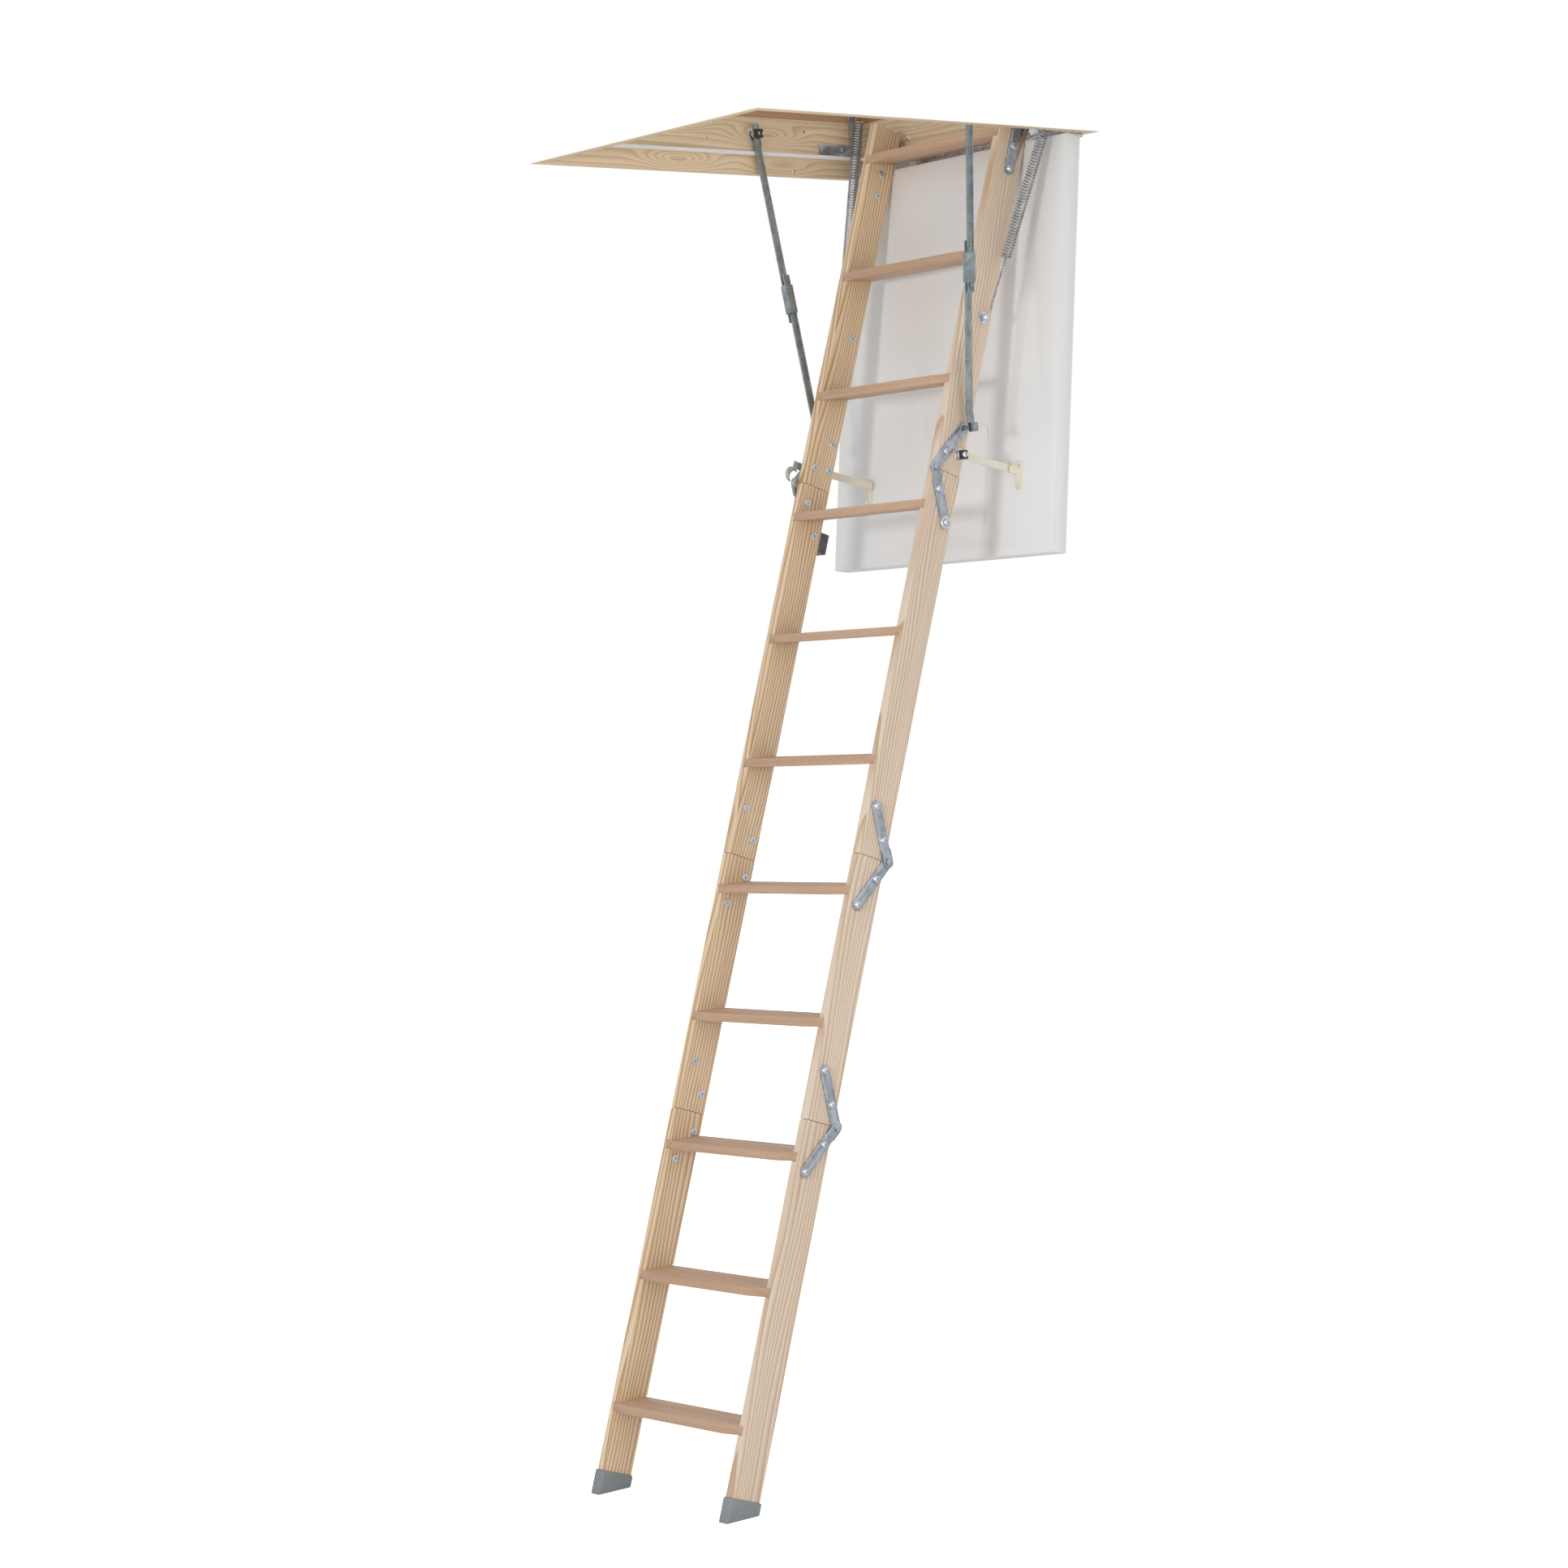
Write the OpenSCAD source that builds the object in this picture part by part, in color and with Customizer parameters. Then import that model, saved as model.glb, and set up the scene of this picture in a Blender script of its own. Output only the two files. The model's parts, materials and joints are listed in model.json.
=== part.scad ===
// Folding attic ladder with four timber sections, hatch frame, insulated hatch door and lifting springs.
// The origin is the centre of the hatch frame's underside. +Z is up, -X is the landing side and
// +X is the side of the hatch hinge. Lengths are in millimetres.

/* [Opening and room] */
// Height from the finished floor to the underside of the frame
ceiling_h = 2487; // [2300:1:2600]
// Outer length of the hatch frame along X
frame_l = 845; // [820:1:1000]
// Outer width of the hatch frame along Y
frame_w = 672; // [650:1:850]
// Height of the pine frame boards
board_h = 113; // [105:1:160]
// Thickness of the frame boards
board_t = 20; // [16:1:28]
// Height of the rail on top of the frame boards
rail_h = 27; // [20:1:40]
// Side of the draught seal strip
seal_s = 8; // [6:0.5:12]

/* [Hatch door] */
// Thickness of the hatch door
hatch_t = 36; // [26:1:50]
// Gap between the door and the frame boards
hatch_gap = 3.5; // [2:0.5:6]
// Thickness of each skin of the door
skin_t = 3; // [2:0.5:5]
// Width of the solid edge band round the door's core
edge_w = 34; // [20:1:50]
// Lean of the open door away from vertical, in degrees
hatch_lean = 7.35; // [5:0.05:10]
// Diameter of the hatch hinge pin
hatch_pin_d = 5; // [4:0.5:6]
// Height of each hinge leaf
leaf_h = 30; // [24:1:34]
// Thickness of each hinge leaf
leaf_t = 2; // [1.5:0.5:3]

/* [Ladder] */
// Angle of the open ladder above the floor, in degrees
lean = 70.8; // [68:0.1:73]
// Outer width of the ladder
ladder_w = 396; // [340:1:440]
// Thickness of a stringer
stringer_t = 19.6; // [18:0.2:26]
// Depth of a stringer from front to back
stringer_d = 65.4; // [58:0.2:75]
// Vertical distance from one tread to the next
step_rise = 235; // [215:1:250]
// Distance along the ladder from the top pivot down to the highest tread
top_step = 63; // [55:1:90]
// Distance along the ladder from the top pivot down to the first fold
top_fold = 747.5; // [735:0.5:765]
// Thickness of a tread
tread_t = 16; // [14:1:22]
// Depth to which a tread is let into each stringer
tread_in = 11.5; // [8:0.5:14]
// Distance by which a tread's nose stands in front of the stringers
nose_out = 12; // [4:1:16]

/* [Fittings] */
// Nominal diameter of the fixing bolts
bolt_d = 8; // [6:1:8]
// Diameter of the bolts' heads
head_d = 14; // [13:0.5:16]
// Thickness of the fold hinge plates
plate_t = 3; // [2:0.5:4]
// Width of the fold hinge plates
plate_w = 22; // [20:1:26]
// Distance of a front fold pivot in front of the stringers
front_out = 2; // [1.5:0.5:4]
// Distance of a back fold pivot behind the stringers
back_out = 5; // [2:0.5:8]
// Width of the folding stays
stay_w = 15; // [12:1:20]
// Thickness of the folding stays
stay_t = 4; // [3:0.5:6]
// Length of the sleeve that locks a stay
sleeve_l = 56; // [40:1:70]
// Outside diameter of the lifting springs
spring_d = 21; // [18:0.5:26]
// Height of a foot
foot_h = 46; // [40:1:60]
// Wall of a foot
foot_wall = 3; // [2:0.5:5]

/* [Hidden] */
$fn = 40;

// Small distances shared by several pieces
fit = 0.3;
pin_fit = 0.1;
cut = 1;

// Frame
inner_x = frame_l / 2 - board_t;
inner_y = frame_w / 2 - board_t;
frame_h = board_h + rail_h;

// Hatch door, drawn closed, then swung down about its pin
leaf_gap = 0.8;
knuckle_d = hatch_pin_d + 3;
hatch_pin_x = inner_x - leaf_t - leaf_gap / 2;
hatch_pin_z = -knuckle_d / 2 - 0.2;
hatch_end_x = inner_x - 2 * leaf_t - leaf_gap;
hatch_l = hatch_end_x + inner_x - hatch_gap;
hatch_w = 2 * inner_y - 2 * hatch_gap;
hatch_open = 90 - hatch_lean;
seal_z = hatch_t + 0.5;

// Ladder axis: s runs up the ladder from the top pivot, u runs back from the front faces
pivot_x = inner_x - 14.5;
pivot_z = 62;
pivot_u = stringer_d + 4;
pitch = step_rise / sin(lean);
fold_s = [-top_fold, -top_fold - 3 * pitch, -top_fold - 5 * pitch];
fold_u = [-front_out, stringer_d + back_out, stringer_d + back_out];
top_s = 6;
floor_s = (-ceiling_h - pivot_z) / sin(lean) - (pivot_u - stringer_d / 2) / tan(lean);
foot_s = floor_s + foot_h / 2;
fold_gap = 1;
half_w = ladder_w / 2;

// Fold hinge plates
plate_turn = 29;
bolt_1 = 42;
bolt_2 = 107;
rivet_d = 8;
rivet_head_h = 2.4;

// Fixings
head_h = 4.5;
nut_d = 15;
nut_t = 1.5;

// Layers outwards from a stringer's outer face
layer_1 = half_w;
layer_2 = layer_1 + plate_t + fit;
layer_3 = layer_2 + plate_t + fit;

function seg_x(s, u) = pivot_x + s * cos(lean) + (u - pivot_u) * sin(lean);
function seg_z(s, u) = pivot_z + s * sin(lean) - (u - pivot_u) * cos(lean);

// Door arms
arm_s = -706;
arm_u = 54;
arm_x = seg_x(arm_s, arm_u);
arm_z = seg_z(arm_s, arm_u);
arm_off = 12;
arm_along = 636;
arm_end_x = hatch_pin_x - arm_along * sin(hatch_lean) + (hatch_t + arm_off - hatch_pin_z) * -cos(hatch_lean);
arm_end_z = hatch_pin_z - arm_along * cos(hatch_lean) + (hatch_t + arm_off - hatch_pin_z) * sin(hatch_lean);
arm_len = norm([arm_end_x - arm_x, arm_end_z - arm_z]);
arm_tilt = atan2(arm_end_z - arm_z, arm_end_x - arm_x);
arm_w = 14;
arm_t = 6;

// Folding stays
stay_top_x = 115.5;
stay_top_z = 78;
stay_top_y = inner_y - 14;
stay_end_s = fold_s[0] + bolt_2 * cos(plate_turn);
stay_end_u = fold_u[0] + bolt_2 * sin(plate_turn);
stay_end_x = seg_x(stay_end_s, stay_end_u);
stay_end_z = seg_z(stay_end_s, stay_end_u);
stay_end_y = layer_1 + plate_t + 3;
stay_dx = stay_end_x - stay_top_x;
stay_dz = stay_top_z - stay_end_z;
stay_len = norm([stay_dx, stay_dz]);
stay_tilt = atan2(stay_dx, stay_dz);
knee_at = 293;
knee_over = 30;
sleeve_at = knee_at + 12;

// Springs and their wires
wire_s = -434;
wire_u = 46;
wire_x = seg_x(wire_s, wire_u);
wire_z = seg_z(wire_s, wire_u);
wire_y = layer_1 + 14;
hook_x = pivot_x - 8;
hook_z = frame_h - 12;
hook_y = inner_y - 22;
spring_run = norm([hook_x - wire_x, hook_y - wire_y, hook_z - wire_z]);
spring_tilt = atan2(hook_x - wire_x, hook_z - wire_z);
spring_side = asin((hook_y - wire_y) / spring_run);
wire_l = 118;
wire_d = 3;
wire_short = 9;
hook_l = 18;

// Places a child that is drawn along the ladder: x is u, z is s
module on_ladder() {
  translate([pivot_x, 0, pivot_z]) rotate([0, 90 - lean, 0]) translate([-pivot_u, 0, 0]) children();
}

// Swings a child that is drawn with the door closed into its open place
module on_hatch() {
  translate([hatch_pin_x, 0, hatch_pin_z]) rotate([0, -hatch_open, 0])
    translate([-hatch_pin_x, 0, -hatch_pin_z]) children();
}

// Draws a child on the left side and its mirror image on the right side
module both_sides() {
  children();
  mirror([0, 1, 0]) children();
}

// A rod along Y from y0 to y1
module rod_y(d, y0, y1) {
  translate([0, y0, 0]) rotate([-90, 0, 0]) cylinder(d = d, h = y1 - y0);
}

// A flat bar with two round ends in the XZ plane, from the origin along +Z, y0 to y1 thick
module bar_z(len, w, y0, y1) {
  translate([0, y1, 0]) rotate([90, 0, 0]) linear_extrude(y1 - y0) {
    translate([-w / 2, 0]) square([w, len]);
    circle(d = w);
    translate([0, len]) circle(d = w);
  }
}

/* Frame ---------------------------------------------------------------- */

module side_board(side) {
  color("burlywood") difference() {
    translate([-frame_l / 2, side > 0 ? inner_y : -frame_w / 2, 0]) cube([frame_l, board_t, board_h]);
    for (x = [-side_hole_x, side_hole_x])
      translate([x, side * frame_w / 2, side_hole_z]) rod_y(side_hole_d, -board_t - cut, board_t + cut);
  }
}
side_hole_x = 250;
side_hole_z = 90;
side_hole_d = 6;

module side_board_left() {
  side_board(1);
}

module side_board_right() {
  side_board(-1);
}

module end_board(x) {
  color("burlywood") translate([x, -inner_y, 0]) cube([board_t, 2 * inner_y, board_h]);
}

module landing_board() {
  end_board(-frame_l / 2);
}

module hinge_board() {
  end_board(inner_x);
}

module upper_rails() {
  color("peru") {
    both_sides() translate([-frame_l / 2, inner_y, board_h]) cube([frame_l, board_t, rail_h]);
    for (x = [-frame_l / 2, inner_x]) translate([x, -inner_y, board_h])
      cube([board_t, 2 * inner_y, rail_h]);
  }
}

// Four strips of square seal, mitred by cutting the short ones back
module draught_seal() {
  color("whitesmoke") {
    both_sides() translate([-inner_x, inner_y - seal_s, seal_z]) cube([2 * inner_x, seal_s, seal_s]);
    translate([-inner_x, -inner_y + seal_s, seal_z]) cube([seal_s, 2 * inner_y - 2 * seal_s, seal_s]);
    translate([inner_x - seal_s, -inner_y + seal_s, seal_z])
      cube([seal_s, 2 * inner_y - 2 * seal_s, seal_s]);
  }
}

// Heads of the screws that hold the boards, on the inner faces
screw_head_d = 8;
screw_head_h = 1;
module frame_screws() {
  color("silver") {
    both_sides() for (p = [[-5, 67], [216, 10]]) translate([p[0], 0, p[1]])
      rod_y(screw_head_d, inner_y - screw_head_h, inner_y);
    for (y = [-178, 178]) translate([inner_x - screw_head_h, y, 63])
      rotate([0, 90, 0]) cylinder(d = screw_head_d, h = screw_head_h);
  }
}

/* Hatch hinge ---------------------------------------------------------- */

knuckles = 9;
knuckle_l = hatch_w / knuckles;
leaf_clear = 0.5;

module knuckle_row(first) {
  for (i = [first:2:knuckles - 1])
    translate([hatch_pin_x, -hatch_w / 2 + i * knuckle_l, hatch_pin_z])
      rod_y(knuckle_d, leaf_clear, knuckle_l - leaf_clear);
}

// A leaf that stands from z = leaf_clear up, with a tongue down to each of its own knuckles
module leaf(x, first) {
  difference() {
    union() {
      knuckle_row(first);
      translate([x, -hatch_w / 2, leaf_clear]) cube([leaf_t, hatch_w, leaf_h - leaf_clear]);
      for (i = [first:2:knuckles - 1])
        translate([x, -hatch_w / 2 + i * knuckle_l + leaf_clear, hatch_pin_z])
          cube([leaf_t, knuckle_l - 2 * leaf_clear, leaf_clear - hatch_pin_z]);
    }
    translate([hatch_pin_x, 0, hatch_pin_z])
      rod_y(hatch_pin_d + pin_fit, -hatch_w / 2 - cut, hatch_w / 2 + cut);
  }
}

module hatch_leaf_fixed() {
  color("dimgray") leaf(inner_x - leaf_t, 0);
}

// The moving leaf has a slot over each cap and screw of the fixed leaf, so that the door can close
module hatch_leaf_moving() {
  color("dimgray") on_hatch() difference() {
    leaf(hatch_end_x, 1);
    for (y = leaf_cap_y)
      translate([hatch_end_x - cut, y - leaf_screw_in - cap_d / 2, leaf_screw_z - cap_d / 2 - 1])
        cube([leaf_t + 2 * cut, leaf_screw_in + cap_d + 1, cap_d + 2]);
  }
}

module hatch_pin() {
  color("silver") translate([hatch_pin_x, 0, hatch_pin_z]) rod_y(hatch_pin_d, -hatch_w / 2, hatch_w / 2);
}

// White plastic caps and the screws beside them, in a row along the fixed leaf
leaf_screw_z = 20;
leaf_screw_step = 114;
leaf_screw_in = 16;
leaf_cap_y = [for (i = [-3:1]) i * leaf_screw_step + 75];
cap_d = 13;
leaf_screw_d = 9;

module leaf_row(d, h, shift) {
  for (y = leaf_cap_y) translate([inner_x - leaf_t - h, y - shift, leaf_screw_z])
    rotate([0, 90, 0]) cylinder(d = d, h = h);
}

module leaf_caps() {
  color("white") leaf_row(cap_d, 2.5, 0);
}

module leaf_screws() {
  color("silver") leaf_row(leaf_screw_d, 1.8, leaf_screw_in);
}

/* Fittings on the frame ------------------------------------------------ */

ear_y = layer_2;
ear_t = 3;
ear_h = 34;
ear_plate_w = 34;
ear_screw_d = 9;
ear_w = 26;

// An angle on the hinge board with an ear and a fixed pin that carries the ladder's top plate
module ladder_brackets() {
  color("silver") both_sides() {
    translate([inner_x - ear_t, ear_y, pivot_z - ear_h / 2]) cube([ear_t, ear_plate_w, ear_h]);
    translate([pivot_x, ear_y, pivot_z - ear_w / 2]) cube([inner_x - pivot_x, ear_t, ear_w]);
    translate([pivot_x, 0, pivot_z]) rod_y(ear_w, ear_y, ear_y + ear_t);
    translate([pivot_x, 0, pivot_z]) rod_y(bolt_d, layer_1 + fit, ear_y + ear_t + head_h);
    translate([pivot_x, 0, pivot_z]) rod_y(head_d, ear_y + ear_t, ear_y + ear_t + head_h);
    for (z = [-11, 11]) translate([inner_x - ear_t - 2, ear_y + 22, pivot_z + z])
      rotate([0, 90, 0]) cylinder(d = ear_screw_d, h = 2);
  }
}

// A bolt through each side board with a wide washer behind the stay
stay_tab_y = inner_y - 10;
stay_bolt_in = 19.5;
stay_washer_d = 26;

module stay_brackets() {
  color("silver") both_sides() translate([stay_top_x, 0, stay_top_z]) {
    rod_y(bolt_d, inner_y - stay_bolt_in, inner_y);
    rod_y(stay_washer_d, inner_y - 2, inner_y);
    rod_y(head_d - 2, inner_y - 9, inner_y - 2);
  }
}

// A moulded black clip with a slot, pressed on a bolt; it starts at the origin and runs along +Y
clip_s = 17;
module clip(depth) {
  difference() {
    translate([-clip_s / 2, 0, -clip_s / 2]) cube([clip_s, depth, clip_s]);
    translate([clip_s / 2 - 3, -cut, -clip_s / 6]) cube([clip_s, depth + 2 * cut, clip_s / 3]);
    rod_y(bolt_d + pin_fit, -cut, depth + cut);
  }
}

clip_l = 8;
module stay_clips() {
  color("black") both_sides() translate([stay_top_x, stay_tab_y - stay_flat_t - fit - clip_l, stay_top_z])
    clip(clip_l);
}

// A strap along each side board and a tall plate that the spring hooks over
spring_bracket_t = 3;
strap_l = 95;
strap_h = 20;
strap_z = seal_z + seal_s + 2;
module spring_brackets() {
  color("silver") both_sides() {
    translate([hook_x - strap_l, inner_y - spring_bracket_t, strap_z])
      cube([strap_l, spring_bracket_t, strap_h]);
    translate([hook_x - 12, inner_y - spring_bracket_t, strap_z])
      cube([24, spring_bracket_t, frame_h - strap_z]);
    translate([hook_x, 0, hook_z]) rod_y(hook_d, hook_y - 7, inner_y);
    translate([hook_x, 0, hook_z]) rod_y(hook_d + 6, hook_y - 9, hook_y - 7);
    for (x = [12 - strap_l, 65 - strap_l]) translate([hook_x + x, 0, strap_z + strap_h / 2])
      rod_y(head_d, inner_y - spring_bracket_t - 3, inner_y - spring_bracket_t);
  }
}
hook_d = 8;

/* Hatch door ----------------------------------------------------------- */

hatch_far_x = hatch_end_x - hatch_l;

module hatch_slab(z, t, in) {
  translate([hatch_far_x + in, -hatch_w / 2 + in, z]) cube([hatch_l - 2 * in, hatch_w - 2 * in, t]);
}

module lock_hole(d) {
  translate([lock_x, 0, -cut]) cylinder(d = d, h = hatch_t + 2 * cut);
}
lock_x = hatch_far_x + 45;
lock_d = 22;
cam_l = 34;

module hatch_skin_outer() {
  color("white") on_hatch() difference() {
    hatch_slab(0, skin_t, 0);
    lock_hole(lock_d);
  }
}

// The inner skin is notched at the hinge end where the ladder's stringers pass it
notch_l = 12;
notch_side = 2;
module hatch_skin_inner() {
  color("white") on_hatch() difference() {
    hatch_slab(hatch_t - skin_t, skin_t, 0);
    lock_hole(lock_d);
    both_sides() translate([hatch_end_x - notch_l, half_w - stringer_t - notch_side, hatch_t - skin_t])
      cube([notch_l + cut, stringer_t + 2 * notch_side, skin_t + cut]);
  }
}

module hatch_edge() {
  color("white") on_hatch() difference() {
    hatch_slab(skin_t, hatch_t - 2 * skin_t, 0);
    hatch_slab(skin_t - cut, hatch_t - 2 * skin_t + 2 * cut, edge_w);
    lock_hole(lock_d);
  }
}

module hatch_core() {
  color("lightyellow") on_hatch() difference() {
    hatch_slab(skin_t, hatch_t - 2 * skin_t, edge_w);
    lock_hole(lock_d + 2 * fit);
  }
}

module lock_barrel() {
  color("silver") on_hatch() translate([lock_x, 0, 0]) difference() {
    union() {
      cylinder(d = lock_d - fit, h = hatch_t + 2);
      translate([0, 0, -3]) cylinder(d = lock_d + 10, h = 3);
    }
    translate([0, 0, hatch_t - 10]) cylinder(d = 8 + pin_fit, h = 20);
  }
}

module lock_cam() {
  color("silver") on_hatch() translate([lock_x, 0, 0]) {
    translate([0, 0, hatch_t - 9]) cylinder(d = 8, h = 14);
    translate([-8, -8, hatch_t + 2 + fit]) cube([16, cam_l, 3]);
  }
}

// Teardrop brackets that hold the far ends of the door arms
cheek_y = layer_1 + 2 + arm_t + 1;
bracket_l = 46;
bracket_w = 18;
module arm_bracket() {
  translate([-bracket_l / 2 - 8, cheek_y, 0]) cube([bracket_l, bracket_w, 3]);
  translate([-bracket_l / 2 - 8, cheek_y + bracket_w / 2, 0]) cylinder(d = bracket_w, h = 3);
  translate([0, 0, arm_off]) rod_y(18, cheek_y, cheek_y + 6);
  translate([-9, cheek_y, 0]) cube([18, 6, arm_off]);
}

arm_reach = hatch_pin_x - arm_along;
module arm_brackets() {
  color("ivory") on_hatch() both_sides() translate([arm_reach, 0, hatch_t]) arm_bracket();
}

module arm_bracket_screws() {
  color("silver") on_hatch() both_sides() for (x = [-bracket_l / 2 - 6, 10])
    translate([arm_reach + x - 4, cheek_y + bracket_w / 2 + 2, hatch_t + 3]) cylinder(d = 7, h = 1.6);
}

/* Ladder sections ------------------------------------------------------ */

function tread_s(k) = -top_step - k * pitch;
function section_first(i) = i == 1 ? 0 : i == 2 ? 3 : i == 3 ? 6 : 8;
function section_last(i) = i == 1 ? 2 : i == 2 ? 5 : i == 3 ? 7 : 10;
function section_top(i) = i == 1 ? top_s : fold_s[i - 2] - fold_gap / 2;
function section_end(i) = i == 4 ? floor_s + foot_sink : fold_s[i - 1] + fold_gap / 2;
foot_sink = stringer_d / 2 / tan(lean) + 5;
tread_front = 3;
tread_d = 68;

// Bolt positions of each section as [u, s]
function plate_bolt(j, up, d) = let (dir = fold_u[j] < 0 ? 1 : -1)
  [fold_u[j] + dir * d * sin(plate_turn), fold_s[j] + up * d * cos(plate_turn)];
function section_bolts(i) = concat(
  i == 1 ? [[top_u, top_bolt_1], [top_u, top_bolt_2], [arm_u, arm_s], [wire_u, wire_s]] : [],
  i > 1 ? [plate_bolt(i - 2, -1, bolt_1), plate_bolt(i - 2, -1, bolt_2)] : [],
  i < 4 ? [plate_bolt(i - 1, 1, bolt_1), plate_bolt(i - 1, 1, bolt_2)] : []);
top_u = 37;
top_bolt_1 = -135;
top_bolt_2 = -90;

module stringer_left(i) {
  difference() {
    on_ladder() difference() {
      translate([0, half_w - stringer_t, section_end(i)])
        cube([stringer_d, stringer_t, section_top(i) - section_end(i)]);
      for (b = section_bolts(i)) translate([b[0], 0, b[1]])
        rod_y(bolt_d + fit, half_w - stringer_t - cut, half_w + cut);
    }
    for (k = [section_first(i):section_last(i)])
      translate([seg_x(tread_s(k), 0) - 40, half_w - stringer_t - cut, seg_z(tread_s(k), 0) - tread_t])
        cube([160, tread_in + cut, tread_t]);
  }
}

module stringer_right(i) {
  mirror([0, 1, 0]) stringer_left(i);
}

module stringer_1_left() {
  color("wheat") stringer_left(1);
}
module stringer_1_right() {
  color("wheat") stringer_right(1);
}
module stringer_2_left() {
  color("wheat") stringer_left(2);
}
module stringer_2_right() {
  color("wheat") stringer_right(2);
}
module stringer_3_left() {
  color("wheat") stringer_left(3);
}
module stringer_3_right() {
  color("wheat") stringer_right(3);
}
module stringer_4_left() {
  color("wheat") stringer_left(4);
}
module stringer_4_right() {
  color("wheat") stringer_right(4);
}

// A tread with its nose cut back to the stringers at both ends and grooves along its top
groove = 2.5;
nose_run = 36;
module tread() {
  end_y = half_w - stringer_t + tread_in;
  in_y = half_w - stringer_t;
  difference() {
    translate([0, 0, -tread_t]) linear_extrude(tread_t)
      polygon([[-tread_front, -end_y], [tread_d - tread_front, -end_y], [tread_d - tread_front, end_y],
        [-tread_front, end_y], [-tread_front, in_y], [-nose_out, in_y - nose_run],
        [-nose_out, nose_run - in_y], [-tread_front, -in_y]]);
    for (x = [2:3 * groove:34]) translate([x, -in_y + 8, -1]) cube([groove, 2 * in_y - 16, 1 + cut]);
  }
}

module treads(i) {
  color("tan") for (k = [section_first(i):section_last(i)])
    translate([seg_x(tread_s(k), 0), 0, seg_z(tread_s(k), 0)]) tread();
}

module treads_1() {
  treads(1);
}
module treads_2() {
  treads(2);
}
module treads_3() {
  treads(3);
}
module treads_4() {
  treads(4);
}

/* Fold hinge plates ---------------------------------------------------- */

// Turns a plate drawn along +Z from the pivot of fold j, upwards (up = 1) or downwards (up = -1)
module at_fold(j, up) {
  dir = fold_u[j] < 0 ? 1 : -1;
  on_ladder() translate([fold_u[j], 0, fold_s[j]])
    rotate([0, up > 0 ? dir * plate_turn : dir * (180 - plate_turn), 0]) children();
}

// The flat plate carries the pivot rivet, which stands out through the joggled plate. Its inner face is
// relieved round the pivot, so that it clears the next section's stringer
relief_d = 40;
module flat_plate() {
  difference() {
    bar_z(bolt_2, plate_w, layer_1, layer_1 + plate_t);
    rod_y(relief_d, layer_1 - cut, layer_1 + fit);
    for (z = [bolt_1, bolt_2]) translate([0, 0, z]) rod_y(bolt_d + fit, layer_1 - cut, layer_2);
  }
  rod_y(rivet_d, layer_1 + plate_t, layer_2 + plate_t + rivet_head_h);
  rod_y(head_d, layer_2 + plate_t + fit, layer_2 + plate_t + fit + rivet_head_h);
}

// The joggled plate lies on the stringer and steps out over the flat plate at the pivot
joggle_1 = 20;
joggle_2 = 24;
module joggled_plate() {
  difference() {
    union() {
      rotate([90, 0, 90]) translate([0, 0, -plate_w / 2]) linear_extrude(plate_w)
        polygon([[layer_2, 0], [layer_2, joggle_1], [layer_1, joggle_2], [layer_1, bolt_2],
          [layer_1 + plate_t, bolt_2], [layer_1 + plate_t, joggle_2 + 2], [layer_2 + plate_t, joggle_1 + 2],
          [layer_2 + plate_t, 0]]);
      rod_y(plate_w, layer_2, layer_2 + plate_t);
      translate([0, 0, bolt_2]) rod_y(plate_w, layer_1, layer_1 + plate_t);
    }
    rod_y(rivet_d + pin_fit, layer_1 - cut, layer_3 + cut);
    for (z = [bolt_1, bolt_2]) translate([0, 0, z]) rod_y(bolt_d + fit, layer_1 - cut, layer_3);
  }
}

module plates_12_upper() {
  color("lightsteelblue") both_sides() at_fold(0, 1) flat_plate();
}
module plates_12_lower() {
  color("lightsteelblue") both_sides() at_fold(0, -1) joggled_plate();
}
module plates_23_upper() {
  color("lightsteelblue") both_sides() at_fold(1, 1) joggled_plate();
}
module plates_23_lower() {
  color("lightsteelblue") both_sides() at_fold(1, -1) flat_plate();
}
module plates_34_upper() {
  color("lightsteelblue") both_sides() at_fold(2, 1) flat_plate();
}
module plates_34_lower() {
  color("lightsteelblue") both_sides() at_fold(2, -1) joggled_plate();
}

/* Bolts, nuts and other fixings ---------------------------------------- */

// A bolt from the nut on the inner face to a head that starts at y0
module bolt(y0, head) {
  rod_y(bolt_d, half_w - stringer_t - nut_t, y0);
  translate([0, y0, 0]) rod_y(head, 0, head_h);
  difference() {
    rod_y(nut_d, half_w - stringer_t - nut_t, half_w - stringer_t);
    for (a = [0:60:300]) rotate([0, a, 0]) translate([nut_d / 2, 0, 0])
      rod_y(3, half_w - stringer_t - nut_t - cut, half_w - stringer_t + cut);
  }
}

module bolts(i) {
  for (b = section_bolts(i)) translate([b[0], 0, b[1]]) bolt(layer_1 + plate_t, head_d);
}
arm_washer_d = 24;
wire_washer_d = 26;

module fixings_1() {
  color("silver") both_sides() on_ladder() {
    translate([top_u, 0, top_bolt_1]) bolt(layer_1 + plate_t, head_d);
    translate([top_u, 0, top_bolt_2]) bolt(layer_1 + plate_t, head_d);
    translate([plate_bolt(0, 1, bolt_1)[0], 0, plate_bolt(0, 1, bolt_1)[1]]) bolt(layer_1 + plate_t, head_d);
    translate([plate_bolt(0, 1, bolt_2)[0], 0, plate_bolt(0, 1, bolt_2)[1]]) bolt_flush();
    translate([arm_u, 0, arm_s]) {
      bolt(arm_clip_y + clip_l - 2, bolt_d + 4);
      rod_y(arm_washer_d, layer_1, layer_1 + 2);
    }
    translate([wire_u, 0, wire_s]) {
      bolt(wire_y - head_h, head_d);
      rod_y(wire_washer_d, layer_1, layer_1 + 2);
    }
  }
}
arm_clip_y = layer_1 + 2 + arm_t + fit;

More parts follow.
